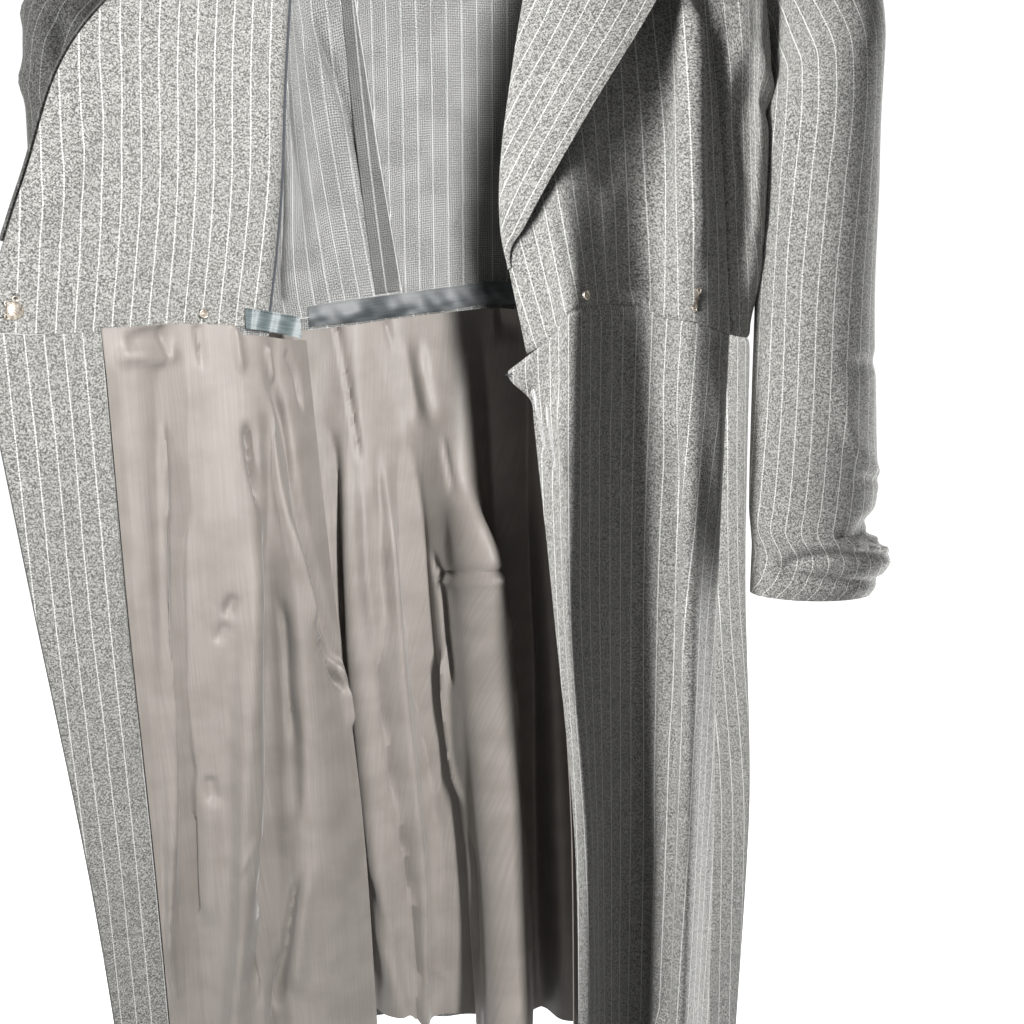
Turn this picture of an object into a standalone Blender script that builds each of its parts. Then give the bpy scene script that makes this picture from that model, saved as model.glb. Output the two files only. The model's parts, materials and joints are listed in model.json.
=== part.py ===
"""A long pinstripe wrap coat with a waist seam, hung open and empty.

The wearer's right front is drawn open at the waist, so the coat shows its
inside: the self-cloth facing, the satin skirt lining, the waist tape and the
hook. Metres, +Z up, the front faces -Y, the wearer's left is +X, and the
origin is the middle of the back neck seam. All tables are in millimetres.
"""
import math

import bmesh
import bpy
import numpy as np

MM = 0.001

# Driving sizes, in millimetres.
WOOL = 1.4                 # thickness of the wool cloth
SATIN = 1.0                # thickness modelled for the satin lining
TAPE = 0.9                 # thickness of the waist tape
SEAM_TRIM = 0.3            # each edge stops this far short of its seam
FACING_DEPTH = 1.8         # the facing's outer side lies this far inside the cloth
HEM_Z = -1105.0            # shell hem below the nape
LINING_HEM_Z = -1076.0     # lining hem below the nape
LINING_SEAT = 1.8          # depth of the lining where it is sewn at the waist
SHOULDER_ROUND = 7.0       # the shoulder seam is rounded down by this much
SHOULDER_REACH = 0.09      # share of a bodice line that the rounding takes
TIP_FORWARD = 0.09         # how early the cloth turns forward below the shoulder tips
LAPEL_END = 0.85           # fraction of the front edge where the lapel ends
TAPE_HEIGHT = 15.0         # waist tape, top to bottom
CORNER_DROP = 13.0         # the left skirt corner hangs below the bodice edge
CORNER_REACH = 15.0        # and sticks out past it

# The waist seam, from the wearer's right front edge round the back to the
# left front edge. Bodice and skirt pieces both end on it.
WAIST = (
    # name, x, y, z
    ("right_edge", -352, -215, -402),
    ("right_band", -320, -186, -405),
    ("right_facing_edge", -288, -157, -404),
    ("right_mid", -253, -130, -402),
    ("right_mid_inner", -218, -105, -403),
    ("right_front_seam", -184, -80, -403),
    ("right_side_front", -206, -58, -404),
    ("right_side", -196, -38, -403),
    ("right_side_back", -160, -32, -399),
    ("right_back", -120, -22, -395),
    ("right_princess", -80, -5, -390),
    ("right_centre_half", -40, 1, -385),
    ("centre_back", 0, 3, -380),
    ("left_centre_half", 40, 2, -384),
    ("left_princess", 80, -1, -390),
    ("left_back", 124, -5, -397),
    ("left_back_side", 170, -11, -405),
    ("left_side", 203, -28, -411),
    ("left_side_front", 208, -58, -414),
    ("left_front_seam", 187, -88, -410),
    ("left_outer_ridge", 156, -108, -400),
    ("left_slope", 134, -98, -397),
    ("left_valley", 112, -92, -388),
    ("left_rise", 84, -110, -386),
    ("left_crease", 59, -138, -390),
    ("left_edge_band", 41, -126, -411),
    ("left_edge", 24, -112, -424),
)
RIGHT_EDGE, RIGHT_FACING, RIGHT_SEAM, RIGHT_PRINCESS = 0, 2, 5, 10
LEFT_PRINCESS, LEFT_SEAM, LEFT_FACING, LEFT_EDGE = 14, 19, 24, 26

# Bodice key lines, from their top end down to the waist seam: place on the
# waist seam, the top end, and x, y a quarter, a half and three quarters down.
BODICE = (
    # name, place, top x, y, z, quarter x, y, half x, y, three quarters x, y
    ("right_roll", 0.0, -70, -58, 6, -190, -108, -291, -148, -324, -184),
    ("right_front_outer", 1.7, -90, -58, 0, -178, -95, -250, -124, -273, -148),
    ("right_front_inner", 3.4, -109, -58, -6, -166, -82, -208, -98, -222, -112),
    ("right_front_seam", 5.0, -128, -58, -12, -153, -68, -165, -73, -172, -76),
    ("right_shoulder_front", 5.3, -164, -58, -23, -170, -67, -182, -67, -188, -68),
    ("right_tip_front", 5.6, -200, -58, -34, -187, -68, -196, -63, -202, -61),
    ("right_armhole_front", 5.9, -201, -66, -98, -203, -70, -206, -62, -208, -59),
    ("right_underarm", 6.5, -213, -50, -182, -215, -44, -212, -42, -206, -42),
    ("right_armhole_low", 7.2, -203, -22, -158, -202, -20, -198, -22, -192, -28),
    ("right_armhole_back", 8.0, -188, -12, -108, -180, -7, -174, -12, -166, -22),
    ("right_tip_back", 8.7, -200, -58, -34, -162, 2, -155, -3, -144, -14),
    ("right_shoulder_back", 9.3, -162, -58, -23, -143, 8, -132, 4, -120, -6),
    ("right_princess", 10.0, -128, -58, -12, -121, 12, -109, 8, -95, 1),
    ("right_neck_back", 10.9, -70, -58, 6, -72, 12, -66, 14, -54, 8),
    ("right_neck_curve", 11.4, -50, -24, 4, -44, 10, -38, 16, -32, 9),
    ("centre_back", 12.0, 0, 0, 0, 0, 11, 0, 17, 0, 10),
    ("left_neck_curve", 12.6, 50, -24, 4, 44, 10, 38, 16, 32, 9),
    ("left_neck_back", 13.1, 70, -58, 6, 72, 12, 66, 14, 54, 8),
    ("left_princess", 14.0, 128, -58, -12, 121, 12, 109, 10, 95, 4),
    ("left_shoulder_back", 14.6, 162, -58, -23, 143, 8, 132, 6, 116, 0),
    ("left_tip_back", 15.2, 200, -58, -34, 164, 2, 155, 0, 142, -3),
    ("left_armhole_back", 15.9, 188, -12, -108, 180, -6, 174, -7, 169, -9),
    ("left_armhole_low", 16.6, 197, -24, -158, 196, -19, 192, -17, 189, -17),
    ("left_underarm", 17.6, 204, -62, -184, 205, -52, 206, -48, 207, -46),
    ("left_armhole_front", 18.4, 199, -80, -104, 200, -91, 201, -89, 201, -83),
    ("left_tip_front", 18.7, 200, -58, -34, 186, -96, 188, -90, 189, -85),
    ("left_shoulder_front", 18.9, 164, -58, -23, 172, -95, 178, -91, 182, -88),
    ("left_front_seam", 19.0, 128, -58, -12, 150, -93, 166, -92, 178, -90),
    ("left_front_ridge", 20.0, 118, -58, -9, 133, -100, 146, -106, 150, -107),
    ("left_front_valley", 22.0, 104, -58, -4, 105, -97, 110, -95, 112, -92),
    ("left_front_inner", 24.0, 88, -58, 1, 72, -96, 58, -103, 52, -118),
    ("left_roll", 26.0, 70, -58, 6, 37, -86, 15, -100, 5, -105),
)
SHOULDER_BACK = ((8.7, 10.9), (13.1, 15.2))
SHOULDER_FRONT = ((0.0, 5.6), (18.7, 26.0))

# Skirt key lines, one at each place on the waist seam: x, y at the hip, the
# knee and the hem.
SKIRT = (
    # name, hip x, y, knee x, y, hem x, y
    ("right_edge", -340, -196, -327, -166, -320, -142),
    ("right_band", -314, -171, -308, -144, -304, -126),
    ("right_facing_edge", -287, -150, -287, -131, -288, -116),
    ("right_mid", -257, -128, -262, -116, -268, -106),
    ("right_mid_inner", -226, -108, -238, -96, -248, -90),
    ("right_front_seam", -200, -88, -216, -78, -230, -72),
    ("right_side_front", -220, -62, -238, -56, -250, -48),
    ("right_side", -210, -38, -232, -30, -246, -20),
    ("right_side_back", -170, -24, -188, -14, -200, -2),
    ("right_back", -128, -10, -142, 4, -152, 18),
    ("right_princess", -88, 6, -96, 22, -104, 36),
    ("right_centre_half", -44, 12, -48, 18, -52, 22),
    ("centre_back", 0, 10, 0, 16, 0, 22),
    ("left_centre_half", 46, 16, 52, 30, 58, 44),
    ("left_princess", 92, 12, 104, 18, 114, 24),
    ("left_back", 134, 8, 150, 22, 162, 36),
    ("left_back_side", 180, -4, 194, 0, 202, 6),
    ("left_side", 209, -24, 223, -20, 224, -12),
    ("left_side_front", 213, -58, 228, -54, 226, -46),
    ("left_front_seam", 186, -87, 193, -79, 196, -72),
    ("left_outer_ridge", 160, -116, 162, -124, 162, -130),
    ("left_slope", 141, -97, 144, -96, 146, -94),
    ("left_valley", 122, -80, 127, -70, 128, -62),
    ("left_rise", 86, -108, 94, -98, 100, -92),
    ("left_crease", 58, -138, 76, -134, 80, -134),
    ("left_edge_band", 51, -130, 71, -133, 76, -135),
    ("left_edge", 45, -122, 67, -131, 72, -134),
)

# The right front lining, from the facing to its loose edge over the back.
LINING_RIGHT = (
    # name, waist x, y, z, hip x, y, knee x, y, hem x, y
    ("sewn_edge", -286, -162, -409, -285, -156, -285, -137, -286, -122),
    ("first_swell", -264, -151, -408, -268, -149, -270, -132, -274, -119),
    ("first_fold", -243, -131, -407, -255, -131, -266, -122, -272, -106),
    ("broad_swell", -214, -119, -408, -226, -131, -240, -122, -248, -112),
    ("second_swell", -186, -104, -410, -196, -120, -203, -122, -212, -112),
    ("second_fold", -177, -92, -412, -186, -100, -190, -98, -198, -92),
    ("third_swell", -168, -84, -414, -166, -98, -160, -94, -166, -88),
    ("loose_edge", -156, -62, -416, -142, -66, -122, -60, -114, -54),
)

# The back lining, from under the right front lining round to the left side.
LINING_BACK = (
    # name, waist x, y, z, hip x, y, knee x, y, hem x, y
    ("right_end", -190, -46, -411, -200, -48, -218, -42, -230, -34),
    ("right_fold", -164, -40, -409, -168, -36, -178, -26, -186, -18),
    ("first_shadow", -146, -36, -408, -142, -26, -134, -8, -130, 0),
    ("first_swell", -122, -32, -405, -121, -30, -112, -24, -104, -14),
    ("dark_fold", -84, -12, -400, -74, -2, -60, 8, -50, 14),
    ("centre_swell", -40, -8, -395, -34, -22, -18, -24, 0, -22),
    ("black_fold", -6, -4, -392, 2, 2, 14, 6, 22, 10),
    ("left_swell", 34, -10, -394, 44, -10, 58, -8, 64, 0),
    ("left_fold", 76, -8, -400, 86, 2, 98, 10, 108, 14),
    ("left_back", 122, -13, -406, 130, -4, 144, 6, 154, 18),
    ("left_back_side", 166, -20, -413, 173, -14, 187, -10, 194, -4),
    ("left_side", 194, -34, -419, 199, -32, 213, -28, 214, -22),
)

# The left front lining, from the side to the left skirt facing.
LINING_LEFT = (
    # name, waist x, y, z, hip x, y, knee x, y, hem x, y
    ("side_end", 197, -56, -419, 202, -56, 217, -52, 215, -46),
    ("front_seam", 180, -78, -416, 180, -74, 187, -68, 190, -62),
    ("outer_ridge", 154, -98, -406, 159, -103, 161, -106, 161, -112),
    ("valley", 114, -82, -394, 124, -68, 129, -58, 131, -50),
    ("rise", 84, -99, -392, 89, -94, 99, -84, 104, -78),
    ("facing_end", 63, -128, -396, 64, -128, 82, -122, 87, -120),
)

# The turned-back left lapel's free edge, by fraction of the front edge.
LAPEL_LEFT = (
    # fraction down the front edge, x, y, z
    (0.0, 136, -66, -4),
    (0.20, 148, -104, -96),
    (0.42, 117, -120, -170),
    (0.58, 73.5, -127, -240.5),
    (0.73, 34.5, -124, -306),
    (0.85, 9, -110, -353),
)
# The right lapel is turned back behind its front: width and standing room.
LAPEL_RIGHT = (
    # fraction down the front edge, width, standing room
    (0.0, 54, 6),
    (0.07, 34, 5.5),
    (0.16, 17, 5),
    (0.25, 30, 7),
    (0.42, 88, 13),
    (0.58, 70, 13),
    (0.73, 34, 9),
    (0.85, 9, 4.4),
)
# The collar's free edge, from the right lapel round the back to the left one.
COLLAR_EDGE = (
    # x, y, z
    (-136, -57, -1),
    (-108, -14, -22),
    (-58, 20, -44),
    (0, 26, -52),
    (58, 20, -44),
    (108, -14, -22),
    (136, -57, -1),
)

# Sleeves below the sleeve head: z, inner x, outer x, middle y, half depth.
SLEEVE_LEFT = (
    # name, z, inner x, outer x, middle y, half depth
    ("bicep", -232, 212, 299, -62, 60),
    ("above_elbow", -300, 215, 302, -62, 55),
    ("elbow", -384, 216.5, 305, -62, 50),
    ("forearm", -480, 217, 313, -64, 44),
    ("shadow_fold", -552, 217, 317.5, -67, 37),
    ("cuff_turn", -568, 216.5, 316.5, -68, 36),
    ("cuff_swell", -594, 216, 330.5, -68, 34),
    ("cuff_low", -612, 216, 328, -68, 32),
    ("hem", -628, 216, 318, -68, 29),
)
SLEEVE_RIGHT = (
    # name, z, inner x, outer x, middle y, half depth
    ("bicep", -240, -270, -357, -76, 56),
    ("above_elbow", -304, -272, -358, -79, 53),
    ("elbow", -386, -268, -356, -82, 48),
    ("forearm", -482, -262, -350, -82, 43),
    ("shadow_fold", -552, -258, -347, -80, 37),
    ("cuff_turn", -568, -257, -347, -80, 36),
    ("cuff_swell", -594, -256, -350, -80, 35),
    ("cuff_low", -612, -256, -351, -80, 33),
    ("hem", -628, -257, -349, -80, 30),
)
HEAD_RINGS = 4             # rings between the armhole and the bicep


def lerp(a, b, t):
    return a + (b - a) * t


def smooth(t):
    t = np.clip(t, 0.0, 1.0)
    return t * t * (3.0 - 2.0 * t)


def curve_at(knots, points, places):
    """Smooth curve through points at rising knots, read at each of the places."""
    knots = np.asarray(knots, float)
    points = np.asarray(points, float)
    places = np.clip(np.atleast_1d(np.asarray(places, float)), knots[0], knots[-1])
    span = np.diff(knots)[:, None]
    rise = np.diff(points, axis=0) / span
    share = span[1:] / (span[1:] + span[:-1])
    bends = rise[:-1] * share + rise[1:] * (1.0 - share)
    reach = np.where(rise[:-1] * rise[1:] > 0.0, 2.0, 0.4)
    limit = reach * np.minimum(np.abs(rise[:-1]), np.abs(rise[1:]))
    slopes = np.vstack((rise[:1], np.clip(bends, -limit, limit), rise[-1:]))
    i = np.clip(np.searchsorted(knots, places, side="right") - 1, 0, len(knots) - 2)
    f = ((places - knots[i]) / (knots[i + 1] - knots[i]))[:, None]
    step = span[i]
    return (points[i] * (2 * f ** 3 - 3 * f ** 2 + 1) + slopes[i] * step * (f ** 3 - 2 * f ** 2 + f)
            + points[i + 1] * (3 * f ** 2 - 2 * f ** 3) + slopes[i + 1] * step * (f ** 3 - f ** 2))


WAIST_POINTS = np.array([row[1:] for row in WAIST], float)
WAIST_PLACES = np.arange(len(WAIST), dtype=float)


def waist_at(us):
    return curve_at(WAIST_PLACES, WAIST_POINTS, us)


BODICE_PLACES = np.array([row[1] for row in BODICE])
BODICE_TOPS = np.array([row[2:5] for row in BODICE], float)


def on_shoulder(us):
    """True where a line starts on a shoulder seam."""
    return np.any([(us >= low) & (us <= high) for low, high in SHOULDER_BACK + SHOULDER_FRONT], axis=0)


def shoulder_share(us):
    """1 along a shoulder seam, fading out at its neck and armhole ends."""
    across = np.abs(curve_at(BODICE_PLACES, BODICE_TOPS, us)[:, 0])
    return on_shoulder(us) * smooth((across - 70.0) / 14.0) * smooth((200.0 - across) / 20.0)


def bodice_at(us, vs):
    """Bodice cloth, a row for each v (0 top edge, 1 waist) and a column for each u."""
    us = np.asarray(us, float)
    vs = np.clip(np.asarray(vs, float), 0.0, 1.0)
    ends = waist_at(BODICE_PLACES)
    lines = []
    for row, end in zip(BODICE, ends):
        xy = np.array((row[2:4], row[5:7], row[7:9], row[9:11], end[:2]), float)
        forward = TIP_FORWARD if row[1] < 6.0 or row[1] > 18.3 else 0.0
        forward *= np.clip((abs(row[2]) - 130.0) / 40.0, 0.0, 1.0)
        x_y = curve_at((0.0, 0.25, 0.5, 0.75, 1.0), xy, vs + forward * np.sin(math.pi * np.minimum(4 * vs, 1)))
        lines.append(np.column_stack((x_y, lerp(row[4], end[2], vs))))
    lines = np.array(lines)
    miss = waist_at(us) - curve_at(BODICE_PLACES, ends, us)
    share = shoulder_share(us)
    rows = []
    for k, v in enumerate(vs):
        points = curve_at(BODICE_PLACES, lines[:, k], us) + smooth((v - 0.55) / 0.45) * miss
        points[:, 2] -= SHOULDER_ROUND * share * max(1.0 - v / SHOULDER_REACH, 0.0) ** 2
        rows.append(points)
    return np.array(rows)


def skirt_at(us, vs):
    """Skirt cloth, a row for each v (0 waist, 1 hem) and a column for each u."""
    us = np.asarray(us, float)
    vs = np.clip(np.asarray(vs, float), 0.0, 1.0)
    lines = []
    for row, start in zip(SKIRT, WAIST_POINTS):
        xy = np.array((start[:2], row[1:3], row[3:5], row[5:7]), float)
        x_y = curve_at((0.0, 0.28, 0.64, 1.0), xy, vs)
        lines.append(np.column_stack((x_y, lerp(start[2], HEM_Z, vs))))
    lines = np.array(lines)
    rows = []
    for k, v in enumerate(vs):
        points = curve_at(WAIST_PLACES, lines[:, k], us)
        corner = smooth(us - 25.0) * smooth(1.0 - v / 0.06)
        points[:, 0] -= CORNER_REACH * corner
        points[:, 2] -= CORNER_DROP * corner
        rows.append(points)
    return np.array(rows)


def lining_at(table, us, vs):
    """Lining cloth: u counts the table's rows, v runs from the waist to the lining's hem."""
    us = np.asarray(us, float)
    vs = np.clip(np.asarray(vs, float), 0.0, 1.0)
    lines = []
    for row in table:
        xy = np.array((row[1:3], row[4:6], row[6:8], row[8:10]), float)
        x_y = curve_at((0.0, 0.28, 0.64, 1.0), xy, vs)
        lines.append(np.column_stack((x_y, lerp(row[3], LINING_HEM_Z, vs))))
    lines = np.array(lines)
    knots = np.arange(len(table), dtype=float)
    return np.array([curve_at(knots, lines[:, k], us) for k in range(len(vs))])


def unit(vectors):
    return vectors / np.linalg.norm(vectors, axis=-1, keepdims=True)


def normals_of(cloth, us, vs):
    """Directions out of the coat, from the cloth just beside each point."""
    us = np.asarray(us, float)
    vs = np.asarray(vs, float)
    along = cloth(us + 0.03, vs) - cloth(us - 0.03, vs)
    down = cloth(us, vs + 0.006) - cloth(us, vs - 0.006)
    out = unit(np.cross(along, down))
    if cloth is bodice_at and vs[0] == 0.0:
        up = cloth(us, [0.0])[0] - cloth(us, [0.025])[0]
        up = unit(up * (1.0, 0.0, 1.0))
        lean = np.clip(np.sum(out[0] * up, axis=1, keepdims=True), 0.75, 1.0)
        out[0] = np.where(on_shoulder(us)[:, None], up / lean, out[0])
    return out


def grid_normals(points):
    """The same for a grid of points with no formula of its own."""
    return unit(np.cross(np.gradient(points, axis=1), np.gradient(points, axis=0)))


def trimmed(points, sides="lrtb"):
    """Pull the chosen sides of a grid in from its seams."""
    points = points.copy()
    if "l" in sides:
        points[:, 0] += unit(points[:, 1] - points[:, 0]) * SEAM_TRIM
    if "r" in sides:
        points[:, -1] += unit(points[:, -2] - points[:, -1]) * SEAM_TRIM
    if "t" in sides:
        points[0] += unit(points[1] - points[0]) * SEAM_TRIM
    if "b" in sides:
        points[-1] += unit(points[-2] - points[-1]) * SEAM_TRIM
    return points


def material(name, colour, roughness, metallic=0.0):
    """A material with an sRGB hex colour turned to linear."""
    channels = [int(colour[i:i + 2], 16) / 255.0 for i in (0, 2, 4)]
    linear = [c / 12.92 if c <= 0.04045 else ((c + 0.055) / 1.055) ** 2.4 for c in channels]
    made = bpy.data.materials.get(name) or bpy.data.materials.new(name)
    made.use_nodes = True
    shader = made.node_tree.nodes["Principled BSDF"]
    shader.inputs["Base Color"].default_value = (*linear, 1.0)
    shader.inputs["Roughness"].default_value = roughness
    shader.inputs["Metallic"].default_value = metallic
    return made


def wool(piece):
    return material("pinstripe wool " + piece, "7D7F7C", 0.9)


def satin(piece):
    return material("lining satin " + piece, "A99C95", 0.42)


def metal(piece):
    return material("nickelled steel " + piece, "A89F92", 0.35, 1.0)


def add_solid(name, verts, faces, look):
    """One closed body from points in millimetres, its faces turned out."""
    mesh = bpy.data.meshes.new(name)
    mesh.from_pydata([tuple(float(c) * MM for c in vert) for vert in verts], [], faces)
    body = bmesh.new()
    body.from_mesh(mesh)
    bmesh.ops.triangulate(body, faces=[face for face in body.faces if len(face.verts) > 3])
    if body.calc_volume(signed=True) < 0.0:
        bmesh.ops.reverse_faces(body, faces=body.faces[:])
    body.to_mesh(mesh)
    body.free()
    mesh.materials.append(look)
    mesh.shade_smooth()
    mesh.set_sharp_from_angle(angle=math.radians(50.0))
    solid = bpy.data.objects.new(name, mesh)
    bpy.context.scene.collection.objects.link(solid)
    return solid


def add_wall(name, outer, inner, look, closed=False):
    """A wall between two grids of points. A closed one joins its last column to its first."""
    rows, columns = outer.shape[:2]
    verts = np.vstack((outer.reshape(-1, 3), inner.reshape(-1, 3)))
    back = rows * columns
    faces = []

    def at(i, j):
        return i * columns + j % columns

    for i in range(rows - 1):
        for j in range(columns if closed else columns - 1):
            a, b, c, d = at(i, j), at(i, j + 1), at(i + 1, j + 1), at(i + 1, j)
            faces += [(a, b, c), (a, c, d), (back + a, back + c, back + b), (back + a, back + d, back + c)]
    for j in range(columns if closed else columns - 1):
        a, b = at(0, j), at(0, j + 1)
        faces += [(a, back + a, back + b), (a, back + b, b)]
        a, b = at(rows - 1, j), at(rows - 1, j + 1)
        faces += [(a, b, back + b), (a, back + b, back + a)]
    for i in range(0 if closed else rows - 1):
        a, b = at(i, 0), at(i + 1, 0)
        faces += [(a, b, back + b), (a, back + b, back + a)]
        a, b = at(i, columns - 1), at(i + 1, columns - 1)
        faces += [(a, back + a, back + b), (a, back + b, b)]
    return add_solid(name, verts, faces, look)


def kept_off(points, cloth, low, high, least, most):
    """Move points along the cloth's outward direction until their height is between the limits."""
    us = np.linspace(low, high, 150)
    vs = np.linspace(0.0, 1.0, 60)
    near = cloth(us, vs).reshape(-1, 3)
    out = normals_of(cloth, us, vs).reshape(-1, 3)
    flat = points.reshape(-1, 3)
    nearest = [int(np.argmin(np.sum((near - point) ** 2, axis=1))) for point in flat]
    height = np.sum((flat - near[nearest]) * out[nearest], axis=1)
    move = (np.clip(height, least, most) - height)[:, None] * out[nearest]
    return (flat + move).reshape(points.shape)


def steps(start, end, size):
    return np.linspace(start, end, int(round(abs(end - start) / size)) + 1)


def armhole_places(names, counts=(1, 4, 2, 3, 2)):
    """Places round an armhole: tip, front, underarm, low back, back, tip."""
    knots = [row[1] for name in names for row in BODICE if row[0] == name]
    spans = zip(knots[:-1], knots[1:], counts)
    return np.concatenate([np.linspace(a, b, n + 1)[:-1] for a, b, n in spans] + [knots[-1:]])


ARMHOLE_RIGHT = armhole_places(("right_tip_front", "right_armhole_front", "right_underarm",
                                "right_armhole_low", "right_armhole_back", "right_tip_back"))
ARMHOLE_LEFT = armhole_places(("left_tip_front", "left_armhole_front", "left_underarm",
                               "left_armhole_low", "left_armhole_back", "left_tip_back"))
NECK = np.array((10.9, 11.08, 11.25, 11.4, 11.6, 11.8, 12.0, 12.2, 12.4, 12.6, 12.75, 12.92, 13.1))
BODICE_ROWS = (0.0, 0.03, 0.07, 0.11, 0.16, 0.21, 0.28, 0.40, 0.55, 0.70, 0.85, 1.0)
SKIRT_ROWS = (0.0, 0.03, 0.08, 0.18, 0.30, 0.44, 0.58, 0.72, 0.86, 1.0)


LEFT_FRONT = np.append(steps(LEFT_SEAM, LEFT_FACING, 0.5), (24.5, 25.2, LEFT_EDGE))


def panel(name, cloth, us, vs, depth, thickness, look, sides="lrtb"):
    """A piece of cloth on one of the coat's surfaces, depth inside its outer face."""
    points = trimmed(cloth(us, vs), sides)
    out = normals_of(cloth, us, vs)
    return add_wall(name, points - out * depth, points - out * (depth + thickness), look)


def bodice():
    side_right = np.concatenate(((5.0, 5.15, 5.3, 5.45), ARMHOLE_RIGHT, (9.0, 9.3, 9.65, 10.0)))
    side_left = np.concatenate(((14.0, 14.3, 14.6, 14.9), ARMHOLE_LEFT[::-1], (18.8, 18.9, 19.0)))
    back = np.concatenate(((10.0, 10.3, 10.6), NECK, (13.4, 13.7, 14.0)))
    columns = {
        "bodice_front_R": steps(RIGHT_EDGE, RIGHT_SEAM, 0.5),
        "bodice_side_R": side_right,
        "bodice_back": back,
        "bodice_side_L": side_left,
        "bodice_front_L": LEFT_FRONT,
    }
    for name, us in columns.items():
        panel(name, bodice_at, us, BODICE_ROWS, 0.0, WOOL, wool(name))
    panel("facing_bodice_R", bodice_at, steps(RIGHT_EDGE, RIGHT_SEAM, 0.5), BODICE_ROWS[1:],
          FACING_DEPTH, WOOL, wool("facing_bodice_R"))


def skirt():
    columns = {
        "skirt_front_R": steps(RIGHT_EDGE, RIGHT_SEAM, 0.5),
        "skirt_back": steps(RIGHT_SEAM, LEFT_SEAM, 0.5),
        "skirt_front_L": LEFT_FRONT,
    }
    for name, us in columns.items():
        panel(name, skirt_at, us, SKIRT_ROWS, 0.0, WOOL, wool(name))
    facings = {
        "skirt_facing_R": steps(RIGHT_EDGE, RIGHT_FACING, 0.5),
        "skirt_facing_L": np.array((24.5, 25.2, LEFT_EDGE)),
    }
    for name, us in facings.items():
        panel(name, skirt_at, us, SKIRT_ROWS, FACING_DEPTH, WOOL, wool(name))


def linings():
    tables = {
        # name: table, the skirt's places behind it, and the row that touches the skirt at the waist
        "lining_front_R": (LINING_RIGHT, RIGHT_EDGE, RIGHT_SEAM, 3.0),
        "lining_back": (LINING_BACK, RIGHT_SEAM, LEFT_SEAM, 6.0),
        "lining_front_L": (LINING_LEFT, LEFT_SEAM, LEFT_EDGE, 3.0),
    }
    for name, (table, low, high, held) in tables.items():
        def cloth(us, vs, table=table):
            return lining_at(table, us, vs)
        us = steps(0, len(table) - 1, 0.5)
        points = kept_off(cloth(us, SKIRT_ROWS), skirt_at, low, high, -900.0, -5.5)
        column = int(round(held / 0.5))
        points[:1, column] = kept_off(points[:1, column], skirt_at, low, high, -LINING_SEAT, -LINING_SEAT)
        out = grid_normals(points)
        add_wall(name, points, points - out * SATIN, satin(name))


def roll_frame(fractions, edge, beside):
    """The front edge, the direction off it and the direction out of the coat."""
    ends = bodice_at([edge], fractions)[:, 0]
    off = unit(ends - bodice_at([beside], fractions)[:, 0])
    out = normals_of(bodice_at, [edge], fractions)[:, 0]
    out = unit(out - off * np.sum(out * off, axis=1, keepdims=True))
    return ends, off, out


def lapels():
    fractions = np.array((0.005,) + BODICE_ROWS[1:-2] + (LAPEL_END,))
    left = np.array(LAPEL_LEFT, float)
    free = curve_at(left[:, 0], left[:, 1:], fractions)
    ends, off, out = roll_frame(fractions, LEFT_EDGE, 25.0)
    columns = [ends + off * 1.6 - out * 0.7, ends + off * 1.3 + out * 2.4, ends - off * 1.6 + out * 3.6]
    free[-1] = ends[-1] - off[-1] * 9.0 + out[-1] * 4.6
    width = np.linalg.norm(free - ends, axis=1, keepdims=True)
    for s in (0.25, 0.5, 0.75, 1.0):
        flap = lerp(columns[2], free, s) + out * width * 0.05 * math.sin(math.pi * s)
        columns.append(kept_off(flap, bodice_at, LEFT_SEAM, LEFT_EDGE, 3.8, 900.0))
    add_lapel("lapel_L", np.stack(columns[::-1], axis=1))

    fractions = np.append(0.045, fractions[2:])
    right = np.array(LAPEL_RIGHT, float)
    sizes = curve_at(right[:, 0], right[:, 1:], fractions)
    ends, off, out = roll_frame(fractions, RIGHT_EDGE, 1.0)
    wide = lerp(2.2, 1.0, smooth(fractions / 0.28))[:, None]
    columns = [ends + off * 1.6 * wide - out * 2.5, ends + off * 2.9 * wide + out * 0.6,
               ends + off * 1.4 * wide + out * 3.4]
    rest = []
    across = np.linspace(0.0, RIGHT_SEAM, 60)
    s = np.array((0.06, 0.25, 0.5, 0.75, 1.0))
    for v, (width, room) in zip(fractions, sizes):
        line = bodice_at(across, [v])[0]
        run = np.append(0.0, np.cumsum(np.linalg.norm(np.diff(line, axis=0), axis=1)))
        places = np.interp(s * min(width, 0.94 * run[-1]), run, across)
        above = normals_of(bodice_at, places, [v])[0]
        rest.append(bodice_at(places, [v])[0] + above * lerp(4.4, room, s)[:, None])
    rest = kept_off(np.array(rest), bodice_at, RIGHT_EDGE, RIGHT_SEAM, 4.4, 900.0)
    columns += list(rest.transpose(1, 0, 2))
    add_lapel("lapel_R", np.stack(columns, axis=1))


def add_lapel(name, points):
    """A lapel turned back over the front edge: a small roll, then a flap to its free edge."""
    out = grid_normals(points)
    points = trimmed(points, "tb")
    add_wall(name, points, points - out * WOOL, wool(name))


def collar():
    """The collar: up from the neck seam, over, and down to its free edge."""
    across = np.linspace(0.0, 1.0, len(NECK))
    neck = bodice_at(NECK, [0.0])[0]
    free = curve_at(np.linspace(0.0, 1.0, len(COLLAR_EDGE)), COLLAR_EDGE, across)
    rows = []
    for s in (0.0, 0.12, 0.28, 0.45, 0.65, 0.85, 1.0):
        stand = 17.0 * math.sin(math.pi * s ** 0.55)
        rows.append(lerp(neck, free, s) + np.array((0.0, 0.0, stand + 0.5)))
    points = trimmed(np.array(rows), "lr")
    points[:, (0, -1), 1] += 0.9
    out = grid_normals(points)
    add_wall("collar", points, points - out * WOOL, wool("collar"))


ARMHOLE_PARTS = (3, 1, 1, 1, 1, 1, 1, 1, 1, 1, 2, 2)


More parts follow.
